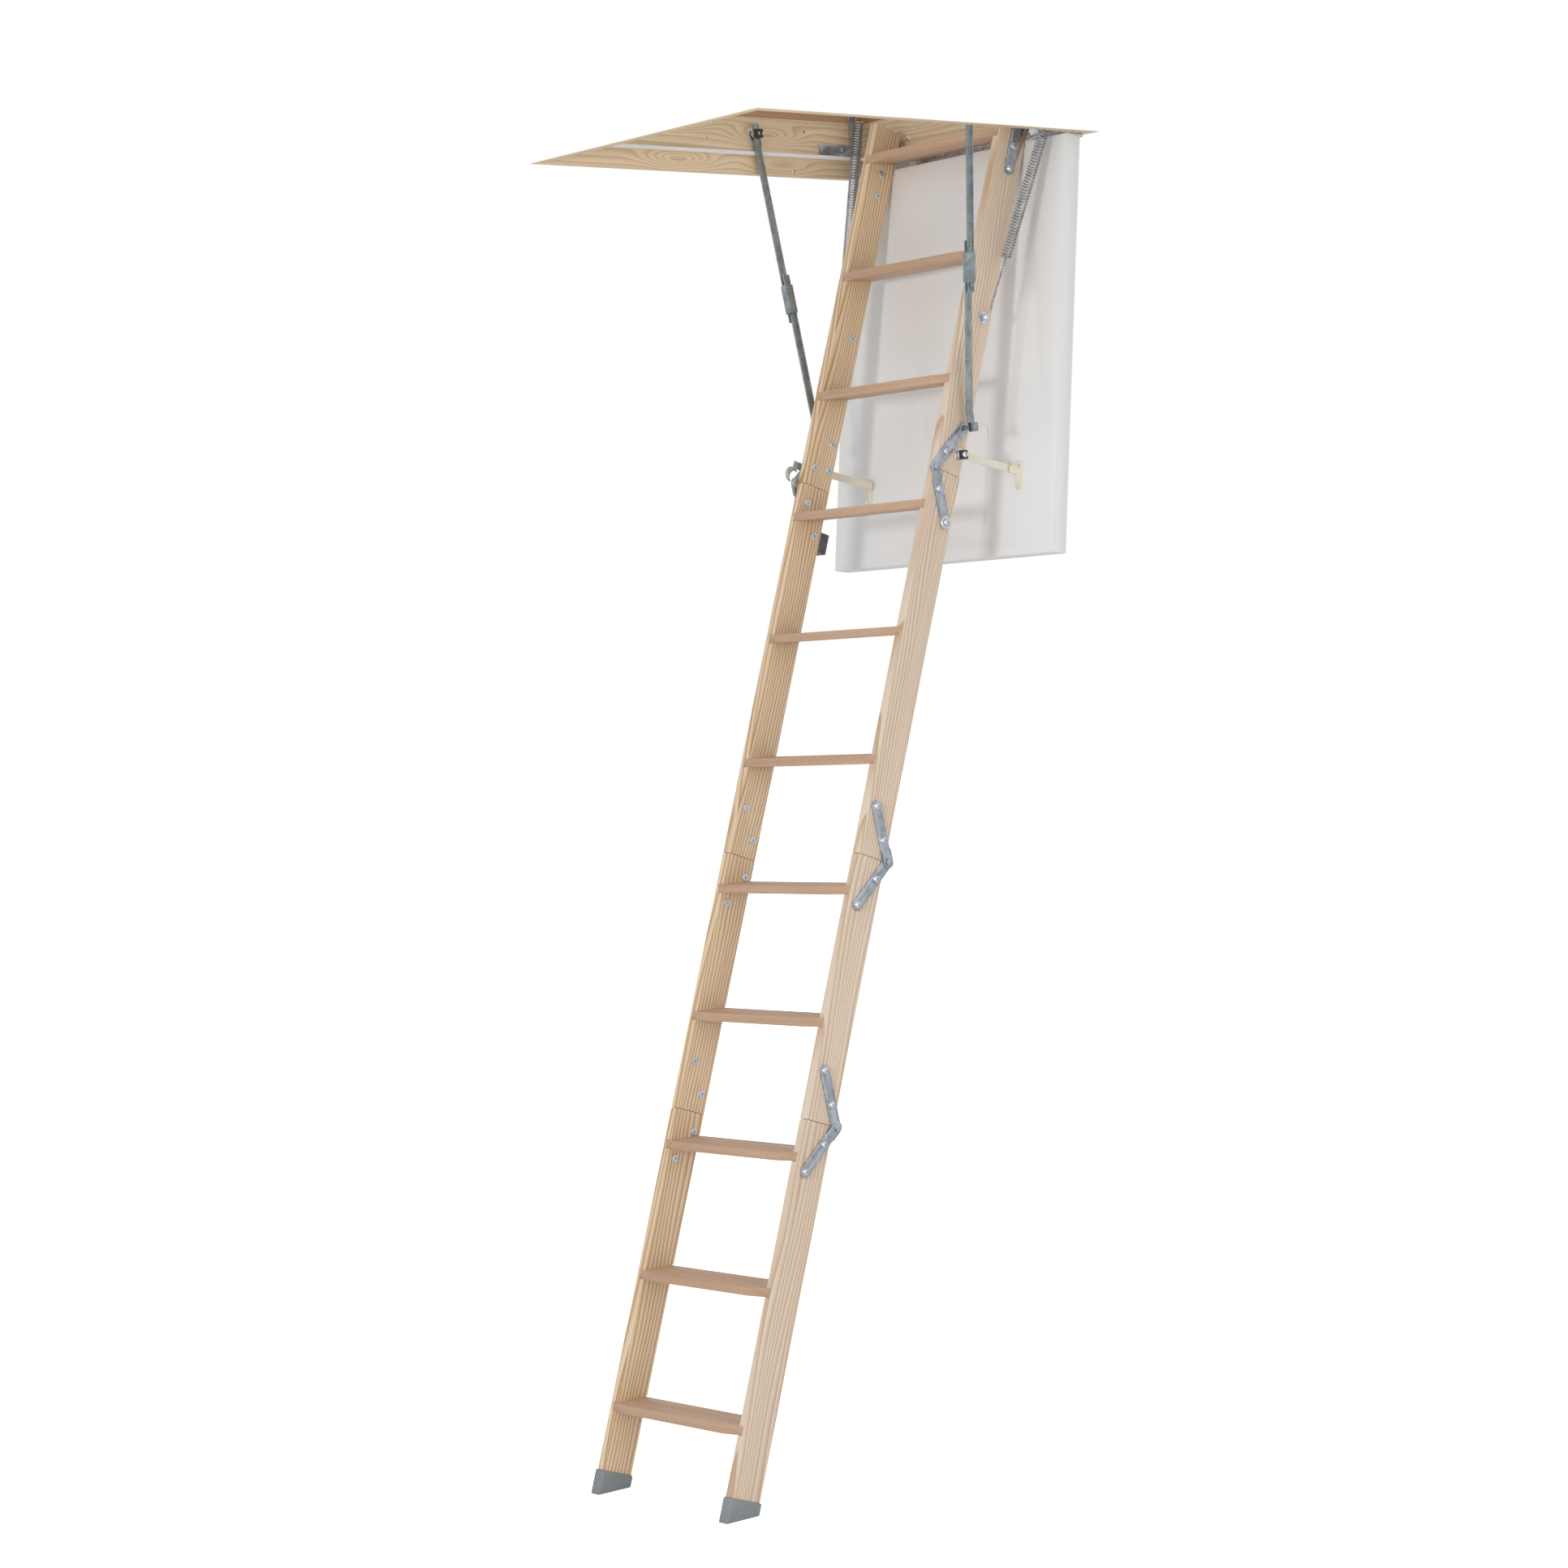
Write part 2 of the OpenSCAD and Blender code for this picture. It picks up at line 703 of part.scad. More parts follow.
// The stay's own end covers this bolt, so its head is sunk in the plate
module bolt_flush() {
  rod_y(bolt_d, half_w - stringer_t - nut_t, layer_1 + plate_t);
  difference() {
    rod_y(nut_d, half_w - stringer_t - nut_t, half_w - stringer_t);
    for (a = [0:60:300]) rotate([0, a, 0]) translate([nut_d / 2, 0, 0])
      rod_y(3, half_w - stringer_t - nut_t - cut, half_w - stringer_t + cut);
  }
}

// The catch angle lies under the head of the left lower bolt; a spacer takes its place on the right
module fixings_2() {
  color("silver") {
    both_sides() on_ladder() {
      for (b = [plate_bolt(0, -1, bolt_1), plate_bolt(1, 1, bolt_1), plate_bolt(1, 1, bolt_2)])
        translate([b[0], 0, b[1]]) bolt(layer_1 + plate_t, head_d);
      translate([angle_u, 0, angle_bolt_s]) bolt(layer_1 + plate_t + angle_t, head_d);
    }
    mirror([0, 1, 0]) on_ladder() translate([angle_u, 0, angle_bolt_s]) difference() {
      rod_y(wire_washer_d - head_d / 2, layer_1 + plate_t, layer_1 + plate_t + angle_t);
      rod_y(bolt_d, layer_1, layer_3);
    }
  }
}
angle_t = 2.5;
angle_u = plate_bolt(0, -1, bolt_2)[0];
angle_bolt_s = plate_bolt(0, -1, bolt_2)[1];
module fixings_3() {
  color("silver") both_sides() on_ladder() bolts(3);
}
module fixings_4() {
  color("silver") both_sides() on_ladder() bolts(4);
}

// Plates on the outer faces at the top, which reach back to the ladder's top pivot
top_plate_w = 24;
module top_plates() {
  color("lightsteelblue") both_sides() on_ladder() difference() {
    union() {
      translate([top_u, 0, top_bolt_1]) bar_z(-top_bolt_1 - 18, top_plate_w, layer_1, layer_1 + plate_t);
      translate([top_u, 0, -18]) rotate([0, atan2(pivot_u - top_u, 18), 0])
        bar_z(norm([pivot_u - top_u, 18]), top_plate_w - 2, layer_1, layer_1 + plate_t);
    }
    for (s = [top_bolt_1, top_bolt_2]) translate([top_u, 0, s]) rod_y(bolt_d + fit, layer_1 - cut, layer_2);
    translate([pivot_u, 0, 0]) rod_y(bolt_d + pin_fit, layer_1 - cut, layer_2);
  }
}

// Plastic boots with flat soles that stand level on the floor
module feet() {
  color("gray") both_sides() difference() {
    on_ladder() difference() {
      translate([-foot_wall, half_w - stringer_t - foot_wall, floor_s - 40])
        cube([stringer_d + 2 * foot_wall, stringer_t + 2 * foot_wall, 40 + foot_up]);
      translate([0, half_w - stringer_t, floor_s + foot_sink])
        cube([stringer_d, stringer_t, foot_up]);
    }
    translate([-1500, 0, -ceiling_h - 200]) cube([2000, 400, 200]);
  }
}
foot_up = foot_h - 12;

/* Arms between the ladder and the door --------------------------------- */

module door_arms() {
  color("ivory") both_sides() translate([arm_x, 0, arm_z]) rotate([0, 90 - arm_tilt, 0]) difference() {
    bar_z(arm_len, arm_w, layer_1 + 2 + fit, layer_1 + 2 + arm_t - fit);
    rod_y(bolt_d + pin_fit, layer_1, layer_1 + 2 + arm_t + cut);
  }
}

module ladder_clips() {
  color("black") both_sides() on_ladder() translate([arm_u, arm_clip_y, arm_s])
    rotate([0, lean - 90, 0]) clip(clip_l - 2);
}

/* Folding stays -------------------------------------------------------- */

stay_flat_t = 3;
stay_flat_l = 22;
stay_flat_w = stay_w + 1;
stop_d = 9;
stay_base_t = 1.8;
stay_bush_d = bolt_d;
stay_lip = 2;
stay_gap = 3.2;
stay_lap = 9;
stay_y0 = stay_tab_y - stay_flat_t / 2 - (stay_gap - 1) / 2;
stay_end_tab_y = arm_clip_y + clip_l + 7;
stay_y1 = stay_end_tab_y + (stay_gap - 1) / 2;
stay_slope = atan2(stay_y0 - stay_y1, stay_len - 2 * stay_flat_l);
knee_rivet_d = 6;
function stay_y(r) = stay_y0 - (r - stay_flat_l) * tan(stay_slope);

// Local frame of the left stay: the origin is the top pivot and the bar hangs along -Z
module on_stay() {
  translate([stay_top_x, 0, stay_top_z]) rotate([0, -stay_tilt, 0]) children();
}

// A slanted strip between the distances r0 and r1 from the top pivot, y0 and y1 off the stay's middle
module stay_strip(r0, r1, w, y0, y1) {
  translate([0, stay_y(r0), -r0]) rotate([-stay_slope, 0, 0])
    translate([-w / 2, y0, -(r1 - r0) / cos(stay_slope)]) cube([w, y1 - y0, (r1 - r0) / cos(stay_slope)]);
}

module stay_channel(r0, r1, side) {
  y0 = side * stay_gap / 2;
  y1 = side * (stay_gap / 2 + stay_base_t);
  y2 = side * (stay_gap / 2 + stay_base_t + stay_lip);
  stay_strip(r0, r1, stay_w, min(y0, y1), max(y0, y1));
  for (x = [-1, 1]) translate([x * (stay_w - stay_base_t) / 2, 0, 0])
    stay_strip(r0, r1, stay_base_t, min(y1, y2), max(y1, y2));
}

module stay_upper() {
  difference() {
    union() {
      translate([0, 0, -stay_flat_l]) bar_z(stay_flat_l + 14, stay_flat_w, stay_tab_y - stay_flat_t, stay_tab_y);
      stay_channel(stay_flat_l - 1, knee_at + sleeve_l + knee_over, 1);
    }
    rod_y(bolt_d + pin_fit, stay_tab_y - 3 * stay_flat_t, stay_tab_y + cut);
    translate([0, 0, 14]) rod_y(bolt_d, stay_tab_y - 2 * stay_flat_t, stay_tab_y + cut);
    translate([0, stay_y(knee_at), -knee_at]) rod_y(knee_rivet_d + pin_fit, -20, 20);
  }
  translate([0, stay_y(knee_stop), -knee_stop])
    rod_y(stop_d, stay_gap / 2 + stay_base_t / 2, stay_gap / 2 + stay_base_t + stay_lip + 2);
}
knee_stop = sleeve_at + sleeve_l + stop_d / 2 + 1;

module stay_lower() {
  translate([0, stay_y(knee_at), -knee_at]) {
    rod_y(knee_rivet_d, -stay_gap / 2 - stay_base_t - stay_lip, stay_gap / 2 + stay_base_t + stay_lip);
  }
  stay_channel(knee_at - stay_lap, stay_len - stay_flat_l, -1);
  translate([0, 0, -stay_len]) {
    bar_z(stay_flat_l + 2, stay_flat_w, stay_end_tab_y - stay_flat_t / 2, stay_end_tab_y + stay_flat_t / 2);
    rod_y(stay_bush_d, layer_2, stay_end_tab_y);
    rod_y(head_d, stay_end_tab_y, stay_end_tab_y + stay_flat_t / 2 + clip_l + head_h / 2);
    translate([0, stay_end_tab_y + stay_flat_t / 2, 0]) clip(clip_l);
  }
}

module stay_upper_left() {
  color("slategray") on_stay() stay_upper();
}
module stay_upper_right() {
  color("slategray") mirror([0, 1, 0]) on_stay() stay_upper();
}
module stay_lower_left() {
  color("slategray") on_stay() stay_lower();
}
module stay_lower_right() {
  color("slategray") mirror([0, 1, 0]) on_stay() stay_lower();
}

// A folded sleeve, open at the back, that slides over the knee and holds the stay straight
sleeve_wall = 1.5;
module sleeve() {
  half = stay_gap / 2 + stay_base_t + stay_lip + 0.4;
  stay_strip(sleeve_at, sleeve_at + sleeve_l, sleeve_w, half, half + sleeve_wall);
  stay_strip(sleeve_at, sleeve_at + sleeve_l, sleeve_w, -half - sleeve_wall, -half);
  translate([-(sleeve_w - sleeve_wall) / 2, 0, 0])
    stay_strip(sleeve_at, sleeve_at + sleeve_l, sleeve_wall, -half, half);
}
sleeve_w = stay_w + 2 * (sleeve_wall + 0.4);

module lock_sleeve_left() {
  color("lightslategray") on_stay() sleeve();
}
module lock_sleeve_right() {
  color("lightslategray") mirror([0, 1, 0]) on_stay() sleeve();
}

/* Springs -------------------------------------------------------------- */

// Local frame of the left spring: the origin is its upper hook and it hangs along -Z
module on_spring() {
  translate([hook_x, hook_y, hook_z]) rotate([0, spring_tilt, 0]) rotate([-spring_side, 0, 0]) children();
}

module springs() {
  color("dimgray") both_sides() on_spring() {
    translate([0, 0, -spring_run + wire_l]) cylinder(d = spring_d, h = spring_run - wire_l - hook_l);
    translate([0, 0, -hook_l - cut]) cylinder(d = wire_d, h = hook_l - hook_d / 2);
  }
}

module spring_wires() {
  color("silver") both_sides() on_spring() translate([0, 0, wire_short - spring_run])
    cylinder(d = wire_d, h = wire_l - wire_short);
}

/* Catch on the left side ----------------------------------------------- */

catch_y = layer_3 + rivet_head_h + 1;
catch_r = 30;
catch_w = 12;
module catch_hook() {
  bolt_at = plate_bolt(0, 1, bolt_1);
  color("silver") on_ladder() translate([bolt_at[0], 0, bolt_at[1]]) {
    rod_y(head_d, layer_1 + plate_t + head_h, catch_y + 2);
    translate([0, catch_y + 2, 0]) rotate([90, 0, 0]) linear_extrude(2) difference() {
      union() {
        circle(d = head_d);
        translate([-catch_r, -head_d / 2]) square([catch_r, head_d]);
        translate([-catch_r, -catch_r / 2 - 6]) circle(r = catch_r / 2);
      }
      translate([-catch_r + 8, -catch_r / 2 - 10]) circle(r = catch_r / 2 - 2);
      translate([-catch_r, -catch_r - 12]) square([2 * catch_r, catch_r - head_d / 2 - 2]);
    }
  }
}

// A steel angle bolted over the second section's left plate; the folded ladder rests against it
angle_h = 40;
angle_reach = 55;
angle_out = 24;
angle_hole_d = 7;
module catch_angle() {
  color("darkslategray") on_ladder() translate([angle_u, layer_1 + plate_t, angle_bolt_s]) difference() {
    union() {
      translate([-head_d, 0, -angle_h / 2]) cube([head_d + angle_reach, angle_t, angle_h]);
      translate([angle_reach - angle_t, 0, -angle_h / 2]) cube([angle_t, angle_out, angle_h]);
    }
    rod_y(bolt_d + fit, -cut, angle_t + cut);
    translate([angle_reach - 2 * angle_t, angle_out - angle_hole_d - 2, 0])
      rotate([0, 90, 0]) cylinder(d = angle_hole_d, h = 3 * angle_t);
  }
}

side_board_left();
side_board_right();
landing_board();
hinge_board();
upper_rails();
draught_seal();
frame_screws();
hatch_leaf_fixed();
hatch_pin();
leaf_caps();
leaf_screws();
ladder_brackets();
stay_brackets();
spring_brackets();
stay_clips();
hatch_skin_inner();
hatch_skin_outer();
hatch_core();
hatch_edge();
hatch_leaf_moving();
arm_brackets();
arm_bracket_screws();
lock_barrel();
lock_cam();
stringer_1_left();
stringer_1_right();
stringer_2_left();
stringer_2_right();
stringer_3_left();
stringer_3_right();
stringer_4_left();
stringer_4_right();
treads_1();
treads_2();
treads_3();
treads_4();
plates_12_upper();
plates_12_lower();
plates_23_upper();
plates_23_lower();
plates_34_upper();
plates_34_lower();
fixings_1();
fixings_2();
fixings_3();
fixings_4();
top_plates();
ladder_clips();
feet();
stay_upper_left();
stay_upper_right();
stay_lower_left();
stay_lower_right();
lock_sleeve_left();
lock_sleeve_right();
door_arms();
springs();
spring_wires();
catch_hook();
catch_angle();
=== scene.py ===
import json
import math
import bmesh
import bpy
from mathutils import Matrix, Vector

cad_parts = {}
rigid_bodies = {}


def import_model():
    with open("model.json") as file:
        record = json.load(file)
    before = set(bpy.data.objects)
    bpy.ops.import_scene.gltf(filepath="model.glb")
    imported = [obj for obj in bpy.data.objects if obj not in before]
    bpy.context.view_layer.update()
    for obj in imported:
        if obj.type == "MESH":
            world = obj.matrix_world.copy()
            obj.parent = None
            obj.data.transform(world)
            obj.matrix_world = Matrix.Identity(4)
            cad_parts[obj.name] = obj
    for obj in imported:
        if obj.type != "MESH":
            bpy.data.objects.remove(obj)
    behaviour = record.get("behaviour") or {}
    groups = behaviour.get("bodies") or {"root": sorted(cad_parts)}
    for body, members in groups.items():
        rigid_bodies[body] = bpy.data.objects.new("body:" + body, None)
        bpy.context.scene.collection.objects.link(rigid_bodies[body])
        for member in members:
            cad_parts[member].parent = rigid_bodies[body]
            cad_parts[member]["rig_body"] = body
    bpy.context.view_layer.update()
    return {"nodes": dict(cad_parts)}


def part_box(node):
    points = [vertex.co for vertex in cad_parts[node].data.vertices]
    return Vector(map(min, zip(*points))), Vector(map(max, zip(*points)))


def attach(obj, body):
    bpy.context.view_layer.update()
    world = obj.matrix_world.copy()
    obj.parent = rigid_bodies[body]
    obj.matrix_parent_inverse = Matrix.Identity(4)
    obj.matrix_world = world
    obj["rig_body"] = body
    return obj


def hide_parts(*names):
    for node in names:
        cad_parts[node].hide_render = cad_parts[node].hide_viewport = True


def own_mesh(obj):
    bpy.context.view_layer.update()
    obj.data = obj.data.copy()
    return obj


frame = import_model()
nodes = frame["nodes"]
scene = bpy.context.scene

# ---- Camera -----------------------------------------------------------------
# A long lens from the landing side, low and to the right, tilted and rolled by a few degrees.
CAMERA_PLACE = Vector((-4.5057, -5.1601, -0.9708))
CAMERA_YAW = math.radians(49.9756)
CAMERA_PITCH = math.radians(-1.9177)
CAMERA_ROLL = math.radians(-3.4819)
SENSOR_MM, LENS_MM, VIEW_REACH = 36, 82.574, 60
forward = Vector((math.cos(CAMERA_YAW) * math.cos(CAMERA_PITCH),
                  math.sin(CAMERA_YAW) * math.cos(CAMERA_PITCH), math.sin(CAMERA_PITCH)))
level = Vector((math.sin(CAMERA_YAW), -math.cos(CAMERA_YAW), 0))
above = level.cross(forward)
right = level * math.cos(CAMERA_ROLL) + above * math.sin(CAMERA_ROLL)
upright = above * math.cos(CAMERA_ROLL) - level * math.sin(CAMERA_ROLL)
camera = bpy.data.objects.new("camera", bpy.data.cameras.new("camera"))
camera.data.sensor_width = SENSOR_MM
camera.data.lens = LENS_MM
camera.data.clip_end = VIEW_REACH
camera_turn = Matrix((right, upright, -forward)).transposed().to_4x4()
camera.matrix_world = Matrix.Translation(CAMERA_PLACE) @ camera_turn
scene.collection.objects.link(camera)
scene.camera = camera

# ---- Light ------------------------------------------------------------------
# A white studio: a surround that looks white and lights the object less, a small key from the camera's left
# that throws soft shadows on the door, and a large weak fill from its right.
WHITE = (1, 1, 1, 1)
SURROUND_SEEN, SURROUND_GLOSSY, SURROUND_DIFFUSE = 1.0, 0.85, 0.58
scene.view_settings.view_transform = "Standard"
world = bpy.data.worlds.new("studio")
world.use_nodes = True
sky = world.node_tree.nodes["Background"]
sky.inputs["Color"].default_value = WHITE
rays = world.node_tree.nodes.new("ShaderNodeLightPath").outputs
glossy = world.node_tree.nodes.new("ShaderNodeMapRange")
glossy.inputs["To Min"].default_value = SURROUND_DIFFUSE
glossy.inputs["To Max"].default_value = SURROUND_GLOSSY
strength = world.node_tree.nodes.new("ShaderNodeMapRange")
strength.inputs["To Max"].default_value = SURROUND_SEEN
world.node_tree.links.new(rays["Is Glossy Ray"], glossy.inputs["Value"])
world.node_tree.links.new(rays["Is Camera Ray"], strength.inputs["Value"])
world.node_tree.links.new(glossy.outputs["Result"], strength.inputs["To Min"])
world.node_tree.links.new(strength.outputs["Result"], sky.inputs["Strength"])
scene.world = world


def soft_light(name, place, target, size, power):
    """A square area light at place, turned to target, with its side in metres and its power in watts."""
    lamp = bpy.data.objects.new(name, bpy.data.lights.new(name, "AREA"))
    lamp.data.size = size
    lamp.data.energy = power
    lamp.location = place
    lamp.rotation_euler = (Vector(target) - Vector(place)).to_track_quat("-Z", "Y").to_euler()
    scene.collection.objects.link(lamp)


soft_light("key", (-4.3, -1.2, -0.35), (0.2, 0, -1.0), 0.7, 50)
soft_light("fill", (-0.8, -4.6, -0.9), (0.1, 0, -1.2), 2.2, 34)


# ---- Shader helpers ---------------------------------------------------------
class Tree:
    """Short calls for building one node tree."""

    def __init__(self, tree):
        self.tree = tree

    def put(self, kind, links=None, **values):
        node = self.tree.nodes.new(kind)
        for key, value in values.items():
            setattr(node, key, value)
        for key, value in (links or {}).items():
            if isinstance(value, bpy.types.NodeSocket):
                self.tree.links.new(value, node.inputs[key])
            else:
                node.inputs[key].default_value = value
        return node

    def math(self, operation, first, second=0.0, third=0.0):
        return self.put("ShaderNodeMath", {0: first, 1: second, 2: third}, operation=operation).outputs[0]

    def vector(self, operation, first, second=(0, 0, 0)):
        node = self.put("ShaderNodeVectorMath", {0: first, 1: second}, operation=operation)
        return node.outputs["Value" if operation == "DOT_PRODUCT" else "Vector"]

    def noise(self, vector, scale, detail=2.0, roughness=0.5):
        return self.put("ShaderNodeTexNoise", {"Vector": vector, "Scale": scale, "Detail": detail,
                                               "Roughness": roughness}).outputs["Fac"]

    def ramp(self, value, low, high, to_low=0.0, to_high=1.0):
        return self.put("ShaderNodeMapRange", {"Value": value, "From Min": low, "From Max": high,
                                               "To Min": to_low, "To Max": to_high}).outputs["Result"]

    def mix(self, factor, first, second):
        node = self.put("ShaderNodeMix", data_type="RGBA", blend_type="MIX")
        for key, value in ((0, factor), (6, first), (7, second)):
            if isinstance(value, bpy.types.NodeSocket):
                self.tree.links.new(value, node.inputs[key])
            else:
                node.inputs[key].default_value = value
        return node.outputs[2]


def shader_group(name, inputs, outputs):
    """A shader node group with named inputs and outputs: its tree helper, its inputs and its outputs."""
    tree = bpy.data.node_groups.new(name, "ShaderNodeTree")
    for label, kind, value in inputs:
        socket = tree.interface.new_socket(label, in_out="INPUT", socket_type=kind)
        socket.default_value = value
    for label, kind in outputs:
        tree.interface.new_socket(label, in_out="OUTPUT", socket_type=kind)
    helper = Tree(tree)
    return helper, tree.nodes.new("NodeGroupInput").outputs, tree.nodes.new("NodeGroupOutput").inputs


COLOUR, NUMBER, PLACE = "NodeSocketColor", "NodeSocketFloat", "NodeSocketVector"
SURFACE_OUTPUTS = [("Color", COLOUR), ("Roughness", NUMBER), ("Height", NUMBER)]

# Growth rings cut lengthwise. X of the vector runs along the grain. Dark late wood ends each ring, the rings
# wander, and a few knots push them aside.
grain, g_in, g_out = shader_group("wood_rings", [
    ("Vector", PLACE, (0, 0, 0)), ("Pale", COLOUR, (1, 1, 1, 1)), ("Deep", COLOUR, (0, 0, 0, 1)),
    ("Knot Color", COLOUR, (0, 0, 0, 1)), ("Rings", NUMBER, 260.0), ("Contrast", NUMBER, 0.6),
    ("Knots", NUMBER, 1.0)], SURFACE_OUTPUTS)
long_way = grain.vector("MULTIPLY", g_in["Vector"], (1.1, 9, 9))
wander = grain.noise(long_way, 1.0, 2.0)
cell = grain.put("ShaderNodeTexVoronoi", {"Vector": grain.vector("MULTIPLY", g_in["Vector"], (2.3, 11, 11)),
                                          "Scale": 1.0, "Randomness": 1.0}).outputs["Distance"]
knot = grain.math("MULTIPLY", grain.ramp(cell, 0.085, 0.045), g_in["Knots"])
around = grain.math("MULTIPLY", grain.ramp(cell, 0.34, 0.05), g_in["Knots"])
parts = grain.put("ShaderNodeSeparateXYZ", {0: g_in["Vector"]}).outputs
across = grain.math("MULTIPLY_ADD", wander, 0.075, grain.math("ADD", parts[1], 0.055))
depth = grain.math("MULTIPLY_ADD", grain.math("MULTIPLY", around, around), 0.03,
                   grain.math("ADD", parts[2], 0.03))
radius = grain.math("SQRT", grain.math("ADD", grain.math("MULTIPLY", across, across),
                                       grain.math("MULTIPLY", depth, depth)))
ring = grain.math("FRACT", grain.math("MULTIPLY", radius, g_in["Rings"]))
late = grain.math("MULTIPLY", grain.math("POWER", ring, 2.4), grain.ramp(ring, 1.0, 0.93))
fibre = grain.noise(grain.vector("MULTIPLY", g_in["Vector"], (14, 900, 900)), 1.0, 3.0, 0.6)
patch = grain.noise(grain.vector("MULTIPLY", g_in["Vector"], (1.6, 22, 22)), 1.0, 2.0)
tone = grain.math("MULTIPLY", late, g_in["Contrast"])
tone = grain.math("ADD", tone, grain.ramp(fibre, 0.3, 0.75, -0.05, 0.13))
tone = grain.math("ADD", tone, grain.ramp(patch, 0.3, 0.7, -0.06, 0.16))
wood_colour = grain.mix(tone, g_in["Pale"], g_in["Deep"])
wood_colour = grain.mix(knot, wood_colour, g_in["Knot Color"])
grain.tree.links.new(wood_colour, g_out["Color"])
grain.tree.links.new(grain.ramp(fibre, 0.2, 0.8, 0.44, 0.6), g_out["Roughness"])
grain.tree.links.new(grain.math("SUBTRACT", grain.math("MULTIPLY", fibre, 0.6),
                                grain.math("MULTIPLY", late, 0.5)), g_out["Height"])

# Beech: an even pinkish ground with short dark flecks and soft bands along the grain.
beech, b_in, b_out = shader_group("beech_flecks", [
    ("Vector", PLACE, (0, 0, 0)), ("Pale", COLOUR, (1, 1, 1, 1)), ("Deep", COLOUR, (0, 0, 0, 1)),
    ("Fleck", COLOUR, (0, 0, 0, 1))], SURFACE_OUTPUTS)
band = beech.noise(beech.vector("MULTIPLY", b_in["Vector"], (1.5, 60, 60)), 1.0, 3.0, 0.6)
dash = beech.noise(beech.vector("MULTIPLY", b_in["Vector"], (150, 1500, 1500)), 1.0, 1.0)
pore = beech.noise(beech.vector("MULTIPLY", b_in["Vector"], (30, 2500, 2500)), 1.0, 2.0)
ground = beech.mix(beech.ramp(band, 0.3, 0.7), b_in["Pale"], b_in["Deep"])
ground = beech.mix(beech.ramp(dash, 0.60, 0.70, 0.0, 0.5), ground, b_in["Fleck"])
beech.tree.links.new(ground, b_out["Color"])
beech.tree.links.new(beech.ramp(band, 0.2, 0.8, 0.42, 0.56), b_out["Roughness"])
beech.tree.links.new(pore, b_out["Height"])

# Plated or bare steel: cloudy plating, fine scratches and rubbed, duller patches.
plating, p_in, p_out = shader_group("steel_surface", [
    ("Vector", PLACE, (0, 0, 0)), ("Light", COLOUR, (1, 1, 1, 1)), ("Dull", COLOUR, (0, 0, 0, 1)),
    ("Smooth", NUMBER, 0.25), ("Rubbed", NUMBER, 0.45)], SURFACE_OUTPUTS)
cloud = plating.noise(p_in["Vector"], 55.0, 4.0, 0.6)
spangle = plating.put("ShaderNodeTexVoronoi", {"Vector": p_in["Vector"], "Scale": 420.0}).outputs["Distance"]
scratch = plating.noise(plating.vector("MULTIPLY", p_in["Vector"], (2400, 260, 200)), 1.0, 2.0, 0.7)
wear = plating.math("ADD", plating.ramp(cloud, 0.32, 0.68), plating.ramp(spangle, 0.0, 0.8, -0.12, 0.12))
plating.tree.links.new(plating.mix(wear, p_in["Light"], p_in["Dull"]), p_out["Color"])
rub = plating.math("MULTIPLY_ADD", plating.math("SUBTRACT", p_in["Rubbed"], p_in["Smooth"]),
                   plating.ramp(cloud, 0.3, 0.7), p_in["Smooth"])
plating.tree.links.new(plating.math("ADD", rub, plating.ramp(scratch, 0.3, 0.7, -0.04, 0.06)),
                       p_out["Roughness"])
plating.tree.links.new(plating.math("ADD", plating.math("MULTIPLY", scratch, 0.4),
                                    plating.math("MULTIPLY", cloud, 0.6)), p_out["Height"])

# Moulded plastic, foil and rubber: a faint mould texture and slow tone changes.
mould, m_in, m_out = shader_group("moulded_surface", [
    ("Vector", PLACE, (0, 0, 0)), ("Base", COLOUR, (1, 1, 1, 1)), ("Shade", COLOUR, (0, 0, 0, 1)),
    ("Rough", NUMBER, 0.4), ("Texture Scale", NUMBER, 900.0)], SURFACE_OUTPUTS)
slow = mould.noise(m_in["Vector"], 4.0, 2.0)
tiny = mould.noise(m_in["Vector"], m_in["Texture Scale"], 2.0)
mould.tree.links.new(mould.mix(mould.ramp(slow, 0.3, 0.7), m_in["Base"], m_in["Shade"]), m_out["Color"])
mould.tree.links.new(mould.math("ADD", m_in["Rough"], mould.ramp(slow, 0.3, 0.7, -0.05, 0.07)),
                     m_out["Roughness"])
mould.tree.links.new(tiny, m_out["Height"])

# The ladder's lean, the direction up along it and the direction from its front faces to its back faces.
LEAN = math.radians(70.8)
ALONG = (math.cos(LEAN), 0, math.sin(LEAN))
BACK = (math.sin(LEAN), 0, -math.cos(LEAN))
X_AXIS, Y_AXIS, Z_AXIS = (1, 0, 0), (0, 1, 0), (0, 0, 1)


def rgb(*channels):
    """An opaque colour."""
    return tuple(channels) + (1,)


